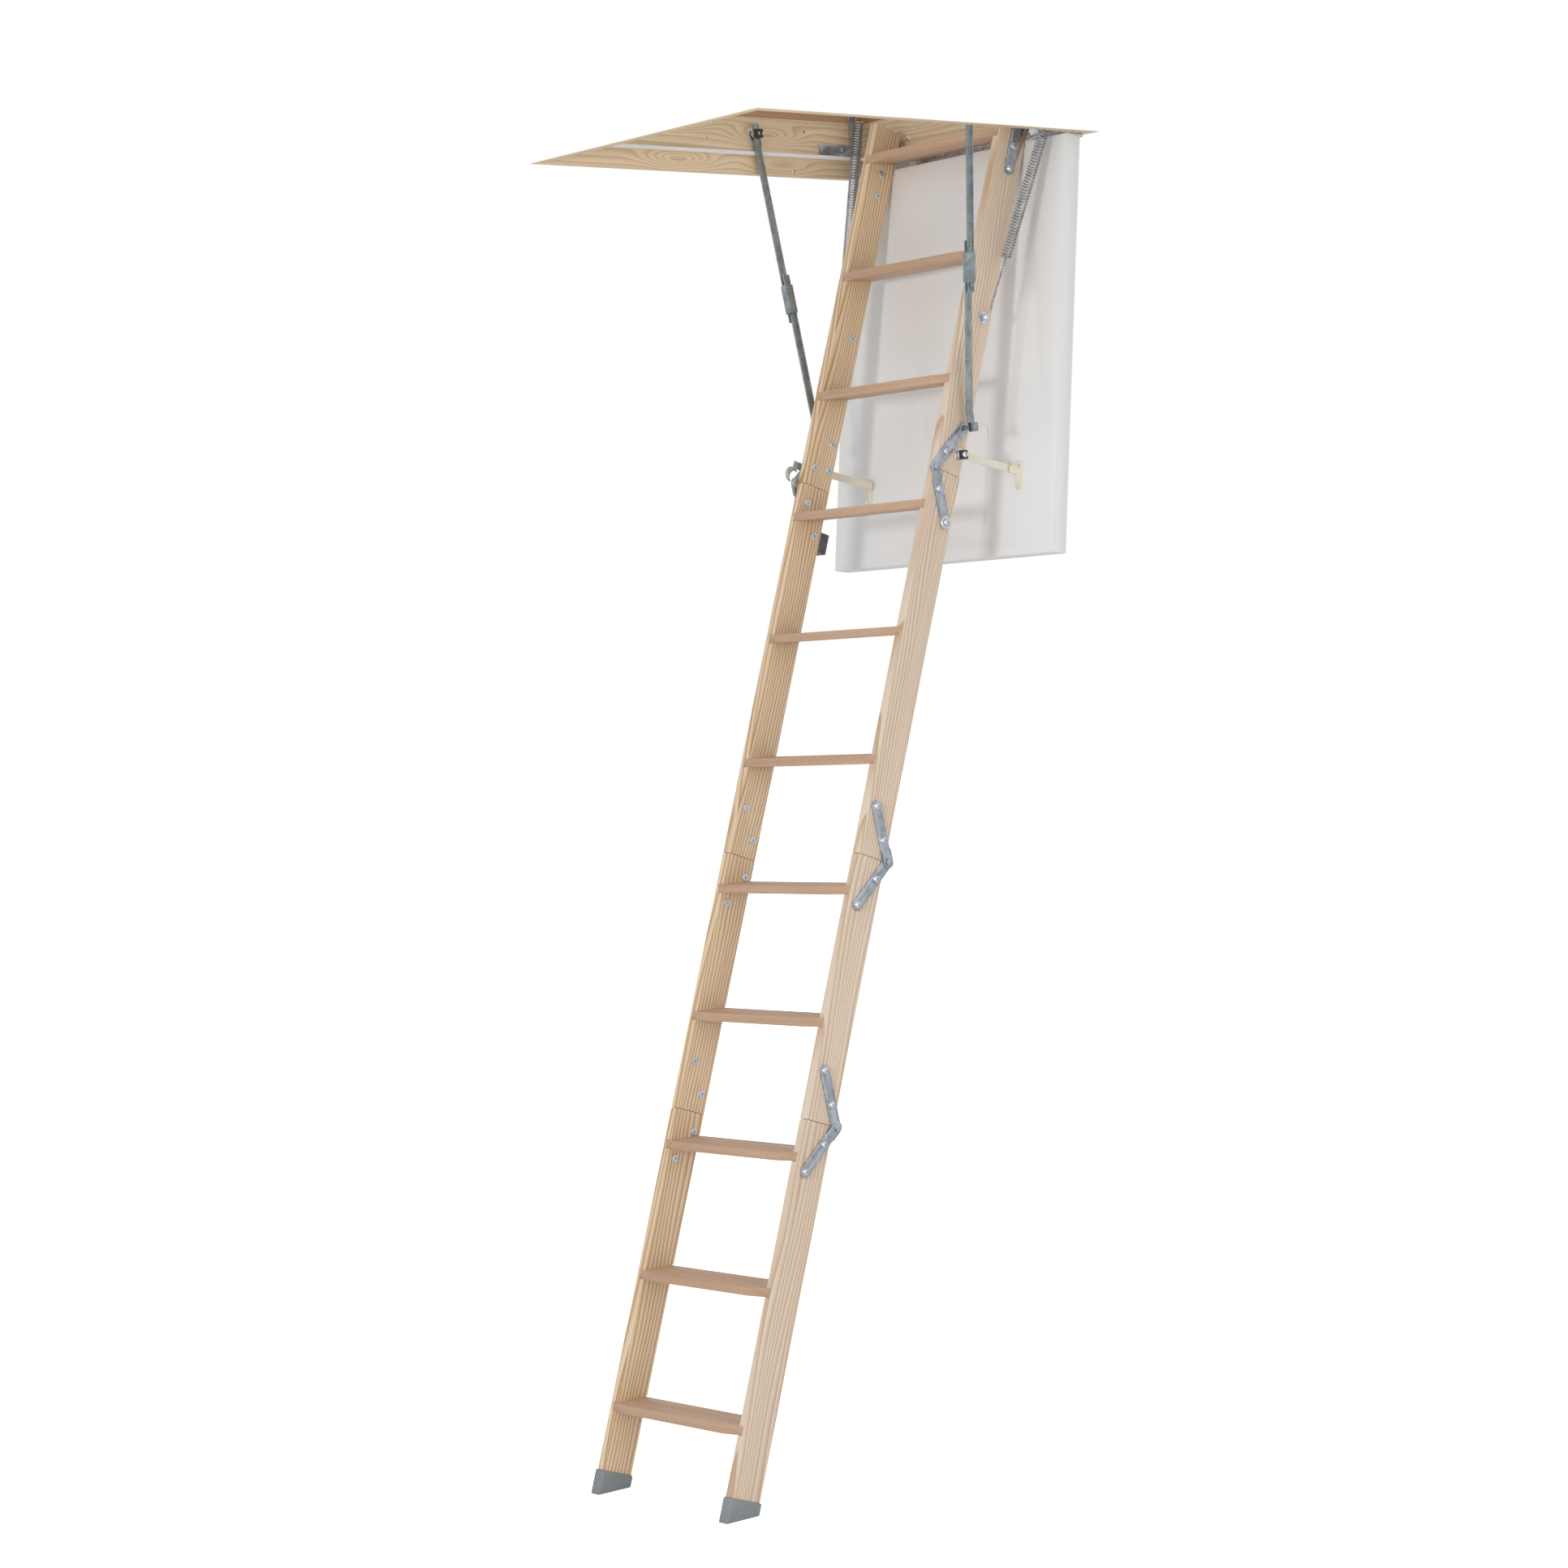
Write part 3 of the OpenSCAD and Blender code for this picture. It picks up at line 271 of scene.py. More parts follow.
def material(name, group, values, axes=None, shift=(0, 0, 0), metal=0.0, bump=0.1, depth=0.0002, coat=0.0):
    """A Principled material fed by a group, with Object coordinates turned so that X runs along axes[0]."""
    made = bpy.data.materials.new(name)
    made.use_nodes = True
    tree = Tree(made.node_tree)
    surface = made.node_tree.nodes["Principled BSDF"]
    vector = tree.put("ShaderNodeTexCoord").outputs["Object"]
    if axes:
        turned = [tree.vector("DOT_PRODUCT", vector, axis) for axis in axes]
        vector = tree.put("ShaderNodeCombineXYZ", {0: turned[0], 1: turned[1], 2: turned[2]}).outputs[0]
    vector = tree.vector("ADD", vector, shift)
    shared = tree.put("ShaderNodeGroup", node_tree=group.tree)
    made.node_tree.links.new(vector, shared.inputs["Vector"])
    for key, value in values.items():
        shared.inputs[key].default_value = value
    made.node_tree.links.new(shared.outputs["Color"], surface.inputs["Base Color"])
    made.node_tree.links.new(shared.outputs["Roughness"], surface.inputs["Roughness"])
    relief = tree.put("ShaderNodeBump", {"Height": shared.outputs["Height"], "Strength": bump,
                                         "Distance": depth})
    made.node_tree.links.new(relief.outputs["Normal"], surface.inputs["Normal"])
    surface.inputs["Metallic"].default_value = metal
    surface.inputs["Coat Weight"].default_value = coat
    return made


PINE = {"Pale": rgb(0.87, 0.71, 0.49), "Deep": rgb(0.50, 0.27, 0.12), "Knot Color": rgb(0.36, 0.19, 0.09)}


def pine(name, axes, shift, **changes):
    """Planed pine with its grain along axes[0]; shift picks the part of the log, changes vary the board."""
    return material(name, grain, {**PINE, **changes}, axes, shift, bump=0.25, depth=0.0004)


zinc = material("zinc_plate", plating, {"Light": rgb(0.58, 0.62, 0.68), "Dull": rgb(0.33, 0.36, 0.41)},
                metal=1.0)
bolt_steel = material("bolt_zinc", plating, {"Light": rgb(0.78, 0.80, 0.82), "Dull": rgb(0.55, 0.58, 0.62),
                                             "Smooth": 0.18, "Rubbed": 0.38}, metal=1.0)
stay_steel = material("stay_steel", plating, {"Light": rgb(0.40, 0.46, 0.48), "Dull": rgb(0.24, 0.28, 0.28),
                                              "Smooth": 0.3, "Rubbed": 0.5}, metal=0.9)
# Painted shade: a near-black steel for the catch angle, darkened for the shadow it sits in behind the
# stringer.
painted_shade_steel = material("rolled_steel_painted_shade", plating, {"Light": rgb(0.20, 0.20, 0.21), "Dull": rgb(0.08, 0.08, 0.09),
                                                "Smooth": 0.28, "Rubbed": 0.5}, metal=0.85)
spring_steel = material("spring_wire", plating, {"Light": rgb(0.60, 0.61, 0.63),
                                                 "Dull": rgb(0.30, 0.31, 0.33),
                                                 "Smooth": 0.22, "Rubbed": 0.42}, metal=1.0)
panel = material("white_foil", mould, {"Base": rgb(0.87, 0.875, 0.88), "Shade": rgb(0.83, 0.835, 0.84),
                                       "Rough": 0.36}, bump=0.06, coat=0.15)
foam = material("foam", mould, {"Base": rgb(0.93, 0.90, 0.76), "Shade": rgb(0.88, 0.84, 0.68),
                                "Rough": 0.85}, bump=0.4)
seal_rubber = material("seal_rubber", mould, {"Base": rgb(0.93, 0.93, 0.93), "Shade": rgb(0.88, 0.88, 0.88),
                                              "Rough": 0.55}, bump=0.1)
cream = material("cream_plastic", mould, {"Base": rgb(0.84, 0.80, 0.67), "Shade": rgb(0.78, 0.73, 0.58),
                                          "Rough": 0.34})
white_plastic = material("white_plastic", mould, {"Base": rgb(0.92, 0.92, 0.91),
                                                  "Shade": rgb(0.86, 0.86, 0.86), "Rough": 0.25}, coat=0.3)
black_plastic = material("black_plastic", mould, {"Base": rgb(0.018, 0.019, 0.022),
                                                  "Shade": rgb(0.035, 0.036, 0.04), "Rough": 0.4})
paper = material("label_paper", mould, {"Base": rgb(0.93, 0.93, 0.93), "Shade": rgb(0.89, 0.89, 0.90),
                                        "Rough": 0.6})


# ---- Mesh helpers -----------------------------------------------------------
def finish_piece(mesh, name, body, look, stands_for=(), angle=35):
    """Smooths a mesh up to the given edge angle, gives it its material and lets it ride on its body."""
    for face in mesh.polygons:
        face.use_smooth = True
    mesh.set_sharp_from_angle(angle=math.radians(angle))
    mesh.materials.clear()
    mesh.materials.append(look)
    piece = bpy.data.objects.new(name, mesh)
    scene.collection.objects.link(piece)
    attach(piece, body)
    if stands_for:
        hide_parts(*stands_for)
    return piece


WELD, FLAT = 2e-6, math.radians(0.6)


def rounded(node, name, look, width, segments=2, angle=28):
    """Copies a CAD node's mesh, welds it, merges flat faces and rounds sharp edges by width metres."""
    shape = bmesh.new()
    shape.from_mesh(nodes[node].data)
    bmesh.ops.remove_doubles(shape, verts=shape.verts, dist=WELD)
    bmesh.ops.dissolve_limit(shape, angle_limit=FLAT, verts=shape.verts, edges=shape.edges)
    sharp = [e for e in shape.edges
             if len(e.link_faces) == 2 and e.calc_face_angle(0) > math.radians(angle)]
    bmesh.ops.bevel(shape, geom=sharp, offset=width, offset_type="OFFSET", segments=segments, profile=0.5,
                    affect="EDGES", clamp_overlap=True)
    bmesh.ops.recalc_face_normals(shape, faces=shape.faces)
    mesh = bpy.data.meshes.new(name)
    shape.to_mesh(mesh)
    shape.free()
    return finish_piece(mesh, name, nodes[node]["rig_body"], look, [node])


def paint(node, look):
    """Gives a CAD node its material."""
    nodes[node].data.materials.clear()
    nodes[node].data.materials.append(look)


# ---- Side boards ------------------------------------------------------------
# Long boards of planed pine with a few knots, screwed to the ceiling framing through two holes each.
side_board_pine = pine("side_board_pine", (X_AXIS, Z_AXIS, Y_AXIS), (0.31, 0.02, 0), Rings=210.0)
for side in ("left", "right"):
    paint("side_board_" + side, side_board_pine)
    rounded("side_board_" + side, "side_board_wood_" + side, side_board_pine, 0.0012)

# ---- End boards -------------------------------------------------------------
# Short pine boards between the side boards at the landing end and at the hinge end, butted and screwed.
end_board_pine = pine("end_board_pine", (Y_AXIS, Z_AXIS, X_AXIS), (1.17, 0.01, 0), Rings=190.0)
for node in ("landing_board", "hinge_board"):
    paint(node, end_board_pine)
    rounded(node, node + "_wood", end_board_pine, 0.0012)

# ---- Upper rails ------------------------------------------------------------
# Darker pine rails glued on top of the boards.
rail_pine = pine("rail_pine", (X_AXIS, Z_AXIS, Y_AXIS), (2.4, 0.05, 0), Pale=rgb(0.52, 0.32, 0.17),
                 Deep=rgb(0.36, 0.18, 0.08))
paint("upper_rails", rail_pine)
rounded("upper_rails", "upper_rails_wood", rail_pine, 0.0012)

# ---- Draught seal -----------------------------------------------------------
# White rubber strip with a rounded face, pressed round the inside of the boards above the closed door.
paint("draught_seal", seal_rubber)
rounded("draught_seal", "draught_seal_strip", seal_rubber, 0.0026, 4)

# ---- Hatch hinge ------------------------------------------------------------
# A long hinge of bright plated steel: fixed leaf, moving leaf and pin.
for node in ("hatch_leaf_fixed", "hatch_leaf_moving"):
    paint(node, bolt_steel)
    rounded(node, node + "_strip", bolt_steel, 0.0003)
paint("hatch_pin", bolt_steel)
rounded("hatch_pin", "hatch_pin_rod", bolt_steel, 0.0006)

# ---- Hinge caps -------------------------------------------------------------
# White moulded caps over the hinge's row of bolts, domed at the rim.
paint("leaf_caps", white_plastic)
rounded("leaf_caps", "leaf_caps_domes", white_plastic, 0.0018, 4)

# ---- Brackets on the frame --------------------------------------------------
# Zinc plated: ladder ears, spring straps and stay bolts, screwed or bolted to the boards.
for node in ("ladder_brackets", "spring_brackets"):
    paint(node, zinc)
    rounded(node, node + "_plate", zinc, 0.0005)
paint("stay_brackets", bolt_steel)
rounded("stay_brackets", "stay_brackets_bolts", bolt_steel, 0.0006)

# ---- Black clips ------------------------------------------------------------
# Slotted clips of black plastic pushed on the bolts of the stays and of the door arms.
for node in ("stay_clips", "ladder_clips"):
    paint(node, black_plastic)
    rounded(node, node + "_moulding", black_plastic, 0.001, 3)

# ---- Hatch door -------------------------------------------------------------
# Two foil-faced skins over a foam core with a solid edge band, glued together. The foil is smooth and
# nearly white.
for node, look, slot, width in (("hatch_skin_inner", panel, "white_panel", 0.0007),
                                ("hatch_skin_outer", panel, "white_panel", 0.0007),
                                ("hatch_edge", panel, "white_panel", 0.0007),
                                ("hatch_core", foam, "foam", 0.0002)):
    paint(node, look)
    rounded(node, node + "_board", look, width)

# ---- Arms and their brackets ------------------------------------------------
# Cream plastic arms from the ladder to the door, and teardrop brackets screwed to the door's inner face.
paint("arm_brackets", cream)
rounded("arm_brackets", "arm_brackets_moulding", cream, 0.001, 3)
paint("door_arms", cream)
rounded("door_arms", "door_arms_moulding", cream, 0.0012, 3)

# ---- Door lock --------------------------------------------------------------
# A plated barrel through the door with a turning cam on the inside.
for node in ("lock_barrel", "lock_cam"):
    paint(node, bolt_steel)
    rounded(node, node + "_metal", bolt_steel, 0.0006)

# ---- Stringers --------------------------------------------------------------
# Planed pine, two to a section, with slots for the treads. Each is cut from its own stretch of board.
# Those on the right are painted paler and pinker: painted light for their brightly lit outer faces.
# Painted light: a paler, pinker pine that stands in for the bright light on the right stringers' outer faces.
PAINTED_LIGHT_PINE = {"Pale": rgb(0.81, 0.69, 0.56), "Deep": rgb(0.60, 0.40, 0.25)}
for section in (1, 2, 3, 4):
    for side, turn, painted_light_tint in (("left", 0.0, {}), ("right", 0.37, PAINTED_LIGHT_PINE)):
        node = f"stringer_{section}_{side}"
        wood = pine(f"pine_{section}_{side}", (ALONG, BACK, Y_AXIS),
                    (0.77 * section + turn, 0.013 * section - turn * 0.05, turn * 0.3),
                    Rings=170.0 - 12 * section, Contrast=1.15 + 0.06 * (section % 3), Knots=0.25, **painted_light_tint)
        paint(node, wood)
        rounded(node, node + "_wood", wood, 0.0022, 3)

# ---- Treads -----------------------------------------------------------------
# Pinkish beech, let into the stringers and glued, with a cut-back nose and grooves along the top.
beech_wood = material("beech_wood", beech, {"Pale": rgb(0.62, 0.42, 0.285), "Deep": rgb(0.50, 0.315, 0.20),
                                            "Fleck": rgb(0.36, 0.19, 0.10)}, (Y_AXIS, X_AXIS, Z_AXIS),
                      bump=0.15, depth=0.0003)
for section in (1, 2, 3, 4):
    paint(f"treads_{section}", beech_wood)
    rounded(f"treads_{section}", f"treads_{section}_wood", beech_wood, 0.0011, 2)

# ---- Fold hinge plates and top plates ----------------------------------------
# Bright zinc plated strip with round ends, bolted through the stringers and riveted at the fold.
for node in ("plates_12_upper", "plates_12_lower", "plates_23_upper", "plates_23_lower", "plates_34_upper",
             "plates_34_lower", "top_plates"):
    paint(node, zinc)
    rounded(node, node + "_steel", zinc, 0.0007)

# ---- Folding stays ----------------------------------------------------------
# Darker channel section steel, one half upside down on the other at the knee, with a sleeve that locks it.
# The bush on the lower bolt is black plastic: the faces round the bolt between two depths and two radii.
CLIP_X, CLIP_Z = 0.15451, -0.54912
CLIP_FROM, CLIP_TO, CLIP_HOLE, CLIP_REACH = 0.2229, 0.2310, 0.0071, 0.0300
for side in ("left", "right"):
    for part in ("stay_upper", "stay_lower", "lock_sleeve"):
        node = f"{part}_{side}"
        paint(node, stay_steel)
        made = rounded(node, node + "_steel", stay_steel, 0.0004)
        if part == "stay_lower":
            made.data.materials.append(black_plastic)
            for face in made.data.polygons:
                off = face.center - Vector((CLIP_X, face.center.y, CLIP_Z))
                if CLIP_FROM < abs(face.center.y) < CLIP_TO and CLIP_HOLE < off.length < CLIP_REACH:
                    face.material_index = 1

# ---- Feet -------------------------------------------------------------------
# Grey moulded boots pushed over the stringers' ends, with fine level ribs round the sole.
feet_look = material("ribbed_plastic", mould, {"Base": rgb(0.27, 0.30, 0.31), "Shade": rgb(0.22, 0.25, 0.26),
                                               "Rough": 0.48}, bump=0.3)
RIB_PITCH, RIB_TOP = 0.0042, -2.458
ribs = Tree(feet_look.node_tree)
rib_place = ribs.put("ShaderNodeTexCoord").outputs["Object"]
rib_height = ribs.put("ShaderNodeSeparateXYZ", {0: rib_place}).outputs[2]
wave = ribs.math("SINE", ribs.math("MULTIPLY", rib_height, 2 * math.pi / RIB_PITCH))
wave = ribs.math("MULTIPLY", ribs.math("GREATER_THAN", wave, 0.0),
                 ribs.math("LESS_THAN", rib_height, RIB_TOP))
old_bump = next(n for n in ribs.tree.nodes if n.type == "BUMP")
rib_bump = ribs.put("ShaderNodeBump", {"Height": wave, "Strength": 0.8, "Distance": 0.0012,
                                       "Normal": old_bump.outputs["Normal"]})
ribs.tree.links.new(rib_bump.outputs["Normal"], ribs.tree.nodes["Principled BSDF"].inputs["Normal"])
paint("feet", feet_look)
rounded("feet", "feet_boots", feet_look, 0.0022, 3)

# ---- Catch ------------------------------------------------------------------
# A pale plated hook plate on the first section and a steel angle on the second, both on the left. The angle's
# dark colour is painted shade for the shadow it sits in behind the left stringer.
catch_zinc = material("catch_zinc", plating, {"Light": rgb(0.60, 0.66, 0.60),
                                              "Dull": rgb(0.44, 0.50, 0.46)}, metal=0.9)
paint("catch_hook", catch_zinc)
rounded("catch_hook", "catch_hook_plate", catch_zinc, 0.0004)
paint("catch_angle", painted_shade_steel)
rounded("catch_angle", "catch_angle_steel", painted_shade_steel, 0.0005)


# ---- Bolts ------------------------------------------------------------------
# Plated bolts through the stringers: domed heads with a hexagon socket outside, flanged sleeve nuts inside.
# One head and one nut are drawn, then set on points by Geometry Nodes.
def turned(profile, name, sides=32, hexagon=None):
    """A solid turned about +Z from (radius, height) pairs; a hexagon (width, depth) is sunk in its top."""
    shape = bmesh.new()
    rings = []
    steps = [2 * math.pi * i / sides for i in range(sides)]
    for r, z in profile:
        rings.append([shape.verts.new((r * math.cos(a), r * math.sin(a), z)) for a in steps])
    for low, high in zip(rings, rings[1:]):
        for i in range(sides):
            shape.faces.new((low[i], low[(i + 1) % sides], high[(i + 1) % sides], high[i]))
    shape.faces.new(list(reversed(rings[0])))
    if hexagon:
        size, sunk = hexagon
        top = profile[-1][1]
        loops = []
        for z in (top, top - sunk):
            loop = []
            for a in steps:
                off_flat = (a + math.pi / 6) % (math.pi / 3) - math.pi / 6
                reach = size / 2 * math.cos(math.pi / 6) / math.cos(off_flat)
                loop.append(shape.verts.new((reach * math.cos(a), reach * math.sin(a), z)))
            loops.append(loop)
        for low, high in ((rings[-1], loops[0]), (loops[0], loops[1])):
            for i in range(sides):
                shape.faces.new((low[i], low[(i + 1) % sides], high[(i + 1) % sides], high[i]))
        shape.faces.new(loops[1])
    else:
        shape.faces.new(rings[-1])
    bmesh.ops.recalc_face_normals(shape, faces=shape.faces)
    mesh = bpy.data.meshes.new(name)
    shape.to_mesh(mesh)
    shape.free()
    return bpy.data.objects.new(name, mesh)


def node_tree(name, inputs):
    """A Geometry Nodes tree with named inputs: its helper, and its input sockets by name."""
    tree = bpy.data.node_groups.new(name, "GeometryNodeTree")
    sockets = {label: tree.interface.new_socket(label, in_out="INPUT", socket_type=kind)
               for label, kind in inputs}
    tree.interface.new_socket("Geometry", in_out="OUTPUT", socket_type="NodeSocketGeometry")
    return Tree(tree), sockets


scatter, scatter_inputs = node_tree("set_on_points", [
    ("Geometry", "NodeSocketGeometry"), ("Template", "NodeSocketObject"), ("Turn", "NodeSocketVector"),
    ("Material", "NodeSocketMaterial")])
s_in = scatter.tree.nodes.new("NodeGroupInput").outputs
s_points = scatter.put("GeometryNodeMeshToPoints", {"Mesh": s_in["Geometry"]}).outputs["Points"]
s_shape = scatter.put("GeometryNodeObjectInfo", {"Object": s_in["Template"]}).outputs["Geometry"]
s_set = scatter.put("GeometryNodeInstanceOnPoints", {"Points": s_points, "Instance": s_shape,
                                                     "Rotation": s_in["Turn"]})
s_real = scatter.put("GeometryNodeRealizeInstances", {"Geometry": s_set.outputs["Instances"]})
s_look = scatter.put("GeometryNodeSetMaterial", {"Geometry": s_real.outputs[0], "Material": s_in["Material"]})
scatter.tree.links.new(s_look.outputs[0], scatter.tree.nodes.new("NodeGroupOutput").inputs["Geometry"])


def evaluated(obj, tree, sockets, values):
    """Runs a Geometry Nodes tree on an object and returns the result as a new plain mesh."""
    scene.collection.objects.link(obj)
    modifier = obj.modifiers.new("nodes", "NODES")
    modifier.node_group = tree.tree
    for label, value in values.items():
        modifier[sockets[label].identifier] = value
    graph = bpy.context.evaluated_depsgraph_get()
    mesh = bpy.data.meshes.new_from_object(obj.evaluated_get(graph))
    obj.modifiers.clear()
    bpy.data.objects.remove(obj)
    return mesh


def set_on_points(places, template, turn, look):
    """The template set on each place with the same turn, as one mesh."""
    mesh = bpy.data.meshes.new("places")
    mesh.from_pydata([tuple(p) for p in places], [], [])
    return evaluated(bpy.data.objects.new("places", mesh), scatter, scatter_inputs,
                     {"Template": template, "Turn": turn, "Material": look})


def joined(meshes, name):
    """Several meshes as one."""
    shape = bmesh.new()
    for mesh in meshes:
        shape.from_mesh(mesh)
    mesh = bpy.data.meshes.new(name)
    shape.to_mesh(mesh)
    shape.free()
    return mesh


HALF_W, STRINGER_T, STRINGER_D, PLATE_T = 0.198, 0.0196, 0.0654, 0.003
PIVOT_X, PIVOT_U, PIVOT_Z = 0.388, 0.0694, 0.062
RISE = 0.235 / math.sin(LEAN)
FOLD_S = (-0.7475, -0.7475 - 3 * RISE, -0.7475 - 5 * RISE)
FOLD_U = (-0.002, 0.0704, 0.0704)
PLATE_TURN = math.radians(29)
NEAR_BOLT, FAR_BOLT = 0.042, 0.107
ANGLE_T, CLIP_OUT, COLLAR_OUT, SHANK_OUT = 0.0025, 0.0139, 0.0095, 0.0015


def on_ladder(s, u, y):
    """A point from its distance s up the ladder and u back from the front faces, in the shared frame."""
    return Vector((PIVOT_X + s * ALONG[0] + (u - PIVOT_U) * BACK[0], y,
                   PIVOT_Z + s * ALONG[2] + (u - PIVOT_U) * BACK[2]))


def plate_bolt(fold, up, distance):
    """The place (s, u) of a fold plate's bolt at a distance from the pivot; up is 1 above it, -1 below."""
    away = 1 if FOLD_U[fold] < 0 else -1
    return (FOLD_S[fold] + up * distance * math.cos(PLATE_TURN),
            FOLD_U[fold] + away * distance * math.sin(PLATE_TURN))


head_shape = turned([(0.0072, 0), (0.0072, 0.0009), (0.0068, 0.002), (0.0058, 0.0032), (0.0042, 0.0040),
                     (0.0036, 0.0042)], "bolt_head", hexagon=(0.0052, 0.0024))
nut_shape = turned([(0.0040, -0.0150), (0.0040, -0.0004), (0.0075, 0), (0.0075, 0.0008), (0.0068, 0.0014),
                    (0.0044, 0.0016)], "sleeve_nut", hexagon=(0.0062, 0.0040))
washer_shape = turned([(0.0125, 0), (0.0130, 0.0004), (0.0130, 0.0015), (0.0122, 0.0020), (0.0060, 0.0020)],
                      "washer")
shank_shape = turned([(0.0039, -0.0060), (0.0039, 0.0125)], "shank")
small_head_shape = turned([(0.0060, 0), (0.0060, 0.0012), (0.0050, 0.0032), (0.0034, 0.0042)], "small_head",
                          hexagon=(0.0046, 0.0024))
OUT = {1: (-math.pi / 2, 0, 0), -1: (math.pi / 2, 0, 0)}
ARM_BOLT, WIRE_BOLT = (-0.706, 0.054), (-0.434, 0.046)
section_bolts = {
    1: [(-0.135, 0.037), (-0.090, 0.037), plate_bolt(0, 1, NEAR_BOLT)],
    2: [plate_bolt(0, -1, NEAR_BOLT), plate_bolt(1, 1, NEAR_BOLT), plate_bolt(1, 1, FAR_BOLT)],
    3: [plate_bolt(1, -1, NEAR_BOLT), plate_bolt(1, -1, FAR_BOLT), plate_bolt(2, 1, NEAR_BOLT),
        plate_bolt(2, 1, FAR_BOLT)],
    4: [plate_bolt(2, -1, NEAR_BOLT), plate_bolt(2, -1, FAR_BOLT)]}
extra_nuts = {1: [plate_bolt(0, 1, FAR_BOLT), ARM_BOLT, WIRE_BOLT], 2: [plate_bolt(0, -1, FAR_BOLT)],
              3: [], 4: []}


def bolt_row(places, y, shape, turn):
    """Copies of a bolt's part at places (s, u) on the ladder, all at the same y."""
    return set_on_points([on_ladder(s, u, y) for s, u in places], shape, turn, bolt_steel)


for section, bolts in section_bolts.items():
    meshes = []
    for hand in (1, -1):
        outer, face = HALF_W + PLATE_T, OUT[hand]
        meshes.append(bolt_row(bolts, hand * outer, head_shape, face))
        meshes.append(bolt_row(bolts + extra_nuts[section], hand * (HALF_W - STRINGER_T), nut_shape,
                               OUT[-hand]))
        if section == 1:
            meshes.append(bolt_row((ARM_BOLT, WIRE_BOLT), hand * HALF_W, washer_shape, face))
            meshes.append(bolt_row((ARM_BOLT, WIRE_BOLT), hand * (HALF_W + SHANK_OUT), shank_shape, face))
            meshes.append(bolt_row((ARM_BOLT,), hand * (HALF_W + CLIP_OUT), small_head_shape, face))
            meshes.append(bolt_row((WIRE_BOLT,), hand * (HALF_W + COLLAR_OUT), head_shape, face))
        if section == 2:
            far = plate_bolt(0, -1, FAR_BOLT)
            meshes.append(bolt_row((far,), hand * (outer + ANGLE_T), head_shape, face))
            if hand < 0:
                meshes.append(bolt_row((far,), -outer, washer_shape, face))
    paint(f"fixings_{section}", bolt_steel)
    finish_piece(joined(meshes, f"bolts_{section}"), f"bolts_{section}", f"section_{section}",
                 bolt_steel, [f"fixings_{section}"], angle=30)

# ---- Small screws -----------------------------------------------------------
# Pan-head screws with a hexagon drive in the boards, the hinge leaf and the arm brackets.
screw_shape = turned([(0.0040, 0), (0.0040, 0.0003), (0.0033, 0.0009), (0.0024, 0.0011)], "screw",
                     hexagon=(0.0036, 0.0009))
leaf_screw_shape = turned([(0.0045, 0), (0.0045, 0.0005), (0.0037, 0.0014), (0.0026, 0.0018)], "leaf_screw",
                          hexagon=(0.0038, 0.0013))
FACE_Y, FACE_X = 0.316, 0.4025
board_screws = [set_on_points([(-0.005, hand * FACE_Y, 0.067), (0.216, hand * FACE_Y, 0.010)], screw_shape,
                              OUT[-hand], bolt_steel) for hand in (1, -1)]
board_screws.append(set_on_points([(FACE_X, -0.178, 0.063), (FACE_X, 0.178, 0.063)], screw_shape,
                                  (0, -math.pi / 2, 0), bolt_steel))
paint("frame_screws", bolt_steel)
finish_piece(joined(board_screws, "board_screws"), "board_screws", "hatch_frame", bolt_steel,
             ["frame_screws"], angle=30)
LEAF_T, LEAF_PITCH, LEAF_SHIFT, LEAF_Z = 2, 114, 75 - 16, 0.020
leaf_mesh = set_on_points([(FACE_X - LEAF_T / 1000, (i * LEAF_PITCH + LEAF_SHIFT) / 1000, LEAF_Z)
                           for i in range(-3, 2)], leaf_screw_shape, (0, -math.pi / 2, 0), bolt_steel)
paint("leaf_screws", bolt_steel)
finish_piece(leaf_mesh, "leaf_screw_heads", "hatch_frame", bolt_steel, ["leaf_screws"],
             angle=30)
paint("arm_bracket_screws", bolt_steel)
rounded("arm_bracket_screws", "arm_bracket_screw_heads", bolt_steel, 0.0007, 3)


# ---- Lifting springs --------------------------------------------------------
# Springs of bright steel wire between the frame's brackets and a twisted wire on the ladder.
# Geometry Nodes wind the coil; the hooks and wires are tubes along points.
coil, coil_inputs = node_tree("coil_spring", [
    ("Geometry", "NodeSocketGeometry"), ("Turns", "NodeSocketFloat"), ("Coil Radius", "NodeSocketFloat"),
    ("Length", "NodeSocketFloat"), ("Wire Radius", "NodeSocketFloat"), ("Material", "NodeSocketMaterial")])
c_in = coil.tree.nodes.new("NodeGroupInput").outputs
spiral = coil.put("GeometryNodeCurveSpiral", {
    "Resolution": 20, "Rotations": c_in["Turns"], "Start Radius": c_in["Coil Radius"],
    "End Radius": c_in["Coil Radius"], "Height": c_in["Length"]})
wire_ring = coil.put("GeometryNodeCurvePrimitiveCircle", {"Resolution": 8, "Radius": c_in["Wire Radius"]})
swept = coil.put("GeometryNodeCurveToMesh", {
    "Curve": spiral.outputs[0], "Profile Curve": wire_ring.outputs[0], "Fill Caps": True})
c_real = coil.put("GeometryNodeRealizeInstances", {"Geometry": swept.outputs[0]})
c_look = coil.put("GeometryNodeSetMaterial", {"Geometry": c_real.outputs[0], "Material": c_in["Material"]})
coil.tree.links.new(c_look.outputs[0], coil.tree.nodes.new("NodeGroupOutput").inputs["Geometry"])


